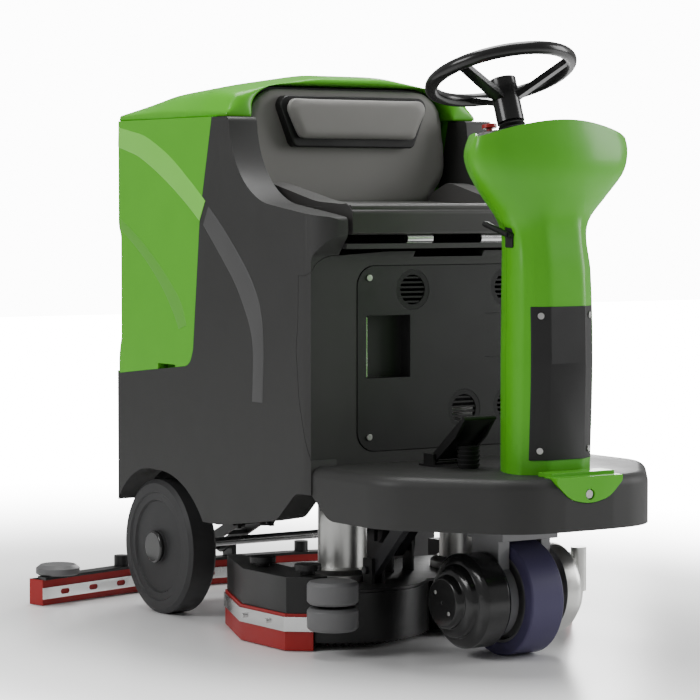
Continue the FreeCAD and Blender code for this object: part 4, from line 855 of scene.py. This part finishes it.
FRAME_PAINT = finish("frame_paint", (0.022, 0.022, 0.024), (0.030, 0.030, 0.033), 0.42, 420, 0.16, 14)
casting("chassis_frame", "chassis", "frame_paint", FRAME_PAINT, 0.0015, 2)
casting("batteries", "chassis", "black_plastic", BLACK_PLASTIC, 0.003, 3)
casting("vacuum_motor", "chassis", "black_plastic", BLACK_PLASTIC, 0.002, 2)
casting("controller_box", "chassis", "zinc", ZINC, 0.001, 2)


# ------------------------------------------------------------ rear wheels
# Two 300 mm wheels of dark grey rubber on moulded rims, each closed by a glossy domed cap,
# running on one bright steel axle.

WHEEL_RUBBER = finish("wheel_rubber", (0.028, 0.028, 0.029), (0.040, 0.040, 0.041), 0.52, 700, 0.25, 12)
CAP_PLASTIC = finish("cap_plastic", (0.012, 0.012, 0.012), (0.018, 0.018, 0.018), 0.2, 900, 0.05, coat=0.6)
HUB_CAP_RADIUS = 0.036
HUB_CAP_DEPTH = 0.012
HUB_CAP_SUNK = 0.003
HUB_CAP_DOME = 0.005


def turned_cap(name, radius, depth, place, lean, crown):
    """A round cap with a domed face, from a cylinder with a wide rounded rim."""
    clear_selection()
    bpy.ops.mesh.primitive_cylinder_add(vertices=64, radius=radius, depth=depth,
                                        location=place, rotation=lean)
    part = bpy.context.object
    part.name = name
    settle(part)
    soften(part, crown, 6)
    return part


for side, hand in ((-1, "right"), (1, "left")):
    wheel = "rear_wheel_" + hand
    casting(wheel, wheel, "wheel_rubber", WHEEL_RUBBER, 0.0015, 2)
    low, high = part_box(wheel)
    middle = (low + high) / 2
    face_x = low.x if side < 0 else high.x
    cap = turned_cap("hub_cap_" + hand, HUB_CAP_RADIUS, HUB_CAP_DEPTH,
                     (face_x - side * HUB_CAP_SUNK, middle.y, middle.z),
                     (0, math.pi / 2, 0), HUB_CAP_DOME)
    fit(cap, wheel, "black_plastic", CAP_PLASTIC)
casting("rear_axle", "chassis", "bright_steel", BRIGHT_STEEL, 0.0006, 2)


# ------------------------------------------------------------ drive unit
# A grey cast fork under a slewing ring carries the purple polyurethane drive wheel, with the
# black traction motor on one side and the gear case and parking brake on the other.

CAST_GREY = finish("cast_grey", (0.20, 0.20, 0.205), (0.27, 0.27, 0.275), 0.5, 260, 0.35, 12, metal=0.5)
DRIVE_TREAD = finish("drive_tread", (0.060, 0.052, 0.115), (0.075, 0.066, 0.14), 0.48, 500, 0.16, 12)
MOTOR_PAINT = finish("motor_paint", (0.009, 0.009, 0.009), (0.014, 0.014, 0.014),
                     0.22, 500, 0.08, 14, coat=0.4)
casting("slewing_ring", "fork", "black_paint", BLACK_PAINT, 0.0008, 2)
casting("drive_fork", "fork", "cast_grey", CAST_GREY, 0.003, 3)
casting("traction_motor", "fork", "black_paint", MOTOR_PAINT, 0.002, 3)
BOLT_CIRCLE = 0.030
BOLT_RADIUS = 0.0042
BOLT_HEIGHT = 0.004
BOLT_SUNK = 0.0006
BOLT_DOME = 0.0012
motor_low, motor_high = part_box("traction_motor")
motor_middle = (motor_low + motor_high) / 2
for number, turn in enumerate((40, 220)):
    spot = (motor_low.x + BOLT_SUNK, motor_middle.y + BOLT_CIRCLE * math.cos(math.radians(turn)),
            motor_middle.z + BOLT_CIRCLE * math.sin(math.radians(turn)))
    bolt = turned_cap(f"motor_bolt_{number}", BOLT_RADIUS, BOLT_HEIGHT, spot,
                      (0, math.pi / 2, 0), BOLT_DOME)
    fit(bolt, "fork", "zinc", ZINC)
casting("gear_case", "fork", "zinc", ZINC, 0.002, 3)
casting("drive_hub", "drive_wheel", "cast_grey", CAST_GREY, 0.001, 2)
casting("drive_tyre", "drive_wheel", "drive_tread", DRIVE_TREAD, 0.0015, 3)


# ------------------------------------------------------------ brush deck
# The pressed steel deck with black side boxes, red splash blades held by bright strips, lift
# arms and a levelling link, two brush motors and a grey guide roller at the front corner.

RED_RUBBER = finish("red_rubber", (0.30, 0.010, 0.010), (0.36, 0.014, 0.014), 0.42, 700, 0.12, 14)
ROLLER_GREY = finish("roller_grey", (0.11, 0.11, 0.112), (0.15, 0.15, 0.152), 0.46, 700, 0.16, 12)
casting("deck_arms", "deck_arms", "frame_paint", FRAME_PAINT, 0.0012, 2)
casting("deck_link", "deck_link", "frame_paint", FRAME_PAINT, 0.001, 2)
casting("brush_deck", "deck", "black_paint", BLACK_PAINT, 0.0012, 2)
casting("deck_side_boxes", "deck", "black_plastic", BLACK_PLASTIC, 0.002, 3)
casting("deck_blades", "deck", "red_rubber", RED_RUBBER, 0.0006, 2)
casting("deck_blade_strips", "deck", "bright_steel", BRIGHT_STEEL, 0.0005, 2)
casting("brush_motors", "deck", "zinc", ZINC, 0.0015, 3)
casting("deck_roller", "deck_roller", "roller_grey", ROLLER_GREY, 0.002, 3)


# ------------------------------------------------------------ brushes
# Two disc brushes: a black moulded block with four rings of bristle tufts punched into it.
# The tufts lean outwards a little and flare towards the floor.

BRISTLE = finish("bristle", (0.012, 0.012, 0.013), (0.05, 0.05, 0.052),
                 0.5, 400, 0.3, 300, stretch=(1, 1, 0.1))
BLOCK_MARGIN = 0.012
BLOCK_EDGE = 0.004
TUFT_TOP = 0.060
TUFT_FOOT = 0.0032
TUFT_FOOT_RADIUS = 0.0085
TUFT_TOP_RADIUS = 0.0045
TUFT_LIFT = 0.0008
TUFT_LEAN = 4
# distance in from the brush's edge, and how many tufts stand there
TUFT_RINGS = [(0.022, 60), (0.046, 50), (0.070, 40), (0.094, 30)]


def brush(hand):
    """The block is a low turned disc, and each tuft is one flared bundle, copied round the rings."""
    node = "brush_" + hand
    low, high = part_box(node)
    middle = (low + high) / 2
    reach = (high.x - low.x) / 2
    block = turned_cap(node + "_block", reach - BLOCK_MARGIN, high.z - TUFT_TOP,
                       (middle.x, middle.y, (high.z + TUFT_TOP) / 2), (0, 0, 0), BLOCK_EDGE)
    clear_selection()
    bpy.ops.mesh.primitive_cone_add(vertices=6, radius1=TUFT_FOOT_RADIUS, radius2=TUFT_TOP_RADIUS,
                                    depth=TUFT_TOP - TUFT_FOOT,
                                    location=(0, 0, (TUFT_TOP + TUFT_FOOT) / 2))
    tuft = bpy.context.object
    settle(tuft)
    centre = Matrix.Translation((middle.x, middle.y, TUFT_LIFT))
    lean = (Matrix.Translation((0, 0, TUFT_TOP)) @ Matrix.Rotation(math.radians(TUFT_LEAN), 4, "Y")
            @ Matrix.Translation((0, 0, -TUFT_TOP)))
    rings = bmesh.new()
    for margin, count in TUFT_RINGS:
        out = Matrix.Translation((reach - margin, 0, 0))
        for number in range(count):
            turn = Matrix.Rotation(2 * math.pi * number / count, 4, "Z")
            one = tuft.data.copy()
            one.transform(centre @ turn @ out @ lean)
            rings.from_mesh(one)
            bpy.data.meshes.remove(one)
    bpy.data.objects.remove(tuft)
    data = bpy.data.meshes.new(node + "_tufts")
    rings.to_mesh(data)
    rings.free()
    tufts = bpy.data.objects.new(node + "_tufts", data)
    bpy.context.scene.collection.objects.link(tufts)
    fit(tufts, node, "bristle", BRISTLE, node)
    fit(block, node, "black_plastic", BLACK_PLASTIC)


brush("right")
brush("left")


# ------------------------------------------------------------ squeegee
# A curved steel squeegee on a swinging arm: red rubber blades clamped behind bright strips,
# black frame, hand knobs, and a grey roller at each end.

casting("squeegee_swing", "squeegee_swing", "black_paint", BLACK_PAINT, 0.001, 2)
casting("squeegee_lift_arm", "squeegee", "black_paint", BLACK_PAINT, 0.001, 2)
casting("squeegee_frame", "squeegee", "black_paint", BLACK_PAINT, 0.001, 2)
casting("squeegee_blades", "squeegee", "red_rubber", RED_RUBBER, 0.0006, 2)
casting("squeegee_strips", "squeegee", "bright_steel", BRIGHT_STEEL, 0.0004, 2)
for hand in ("right", "left"):
    roller = "squeegee_roller_" + hand
    casting(roller, roller, "roller_grey", ROLLER_GREY, 0.002, 3)
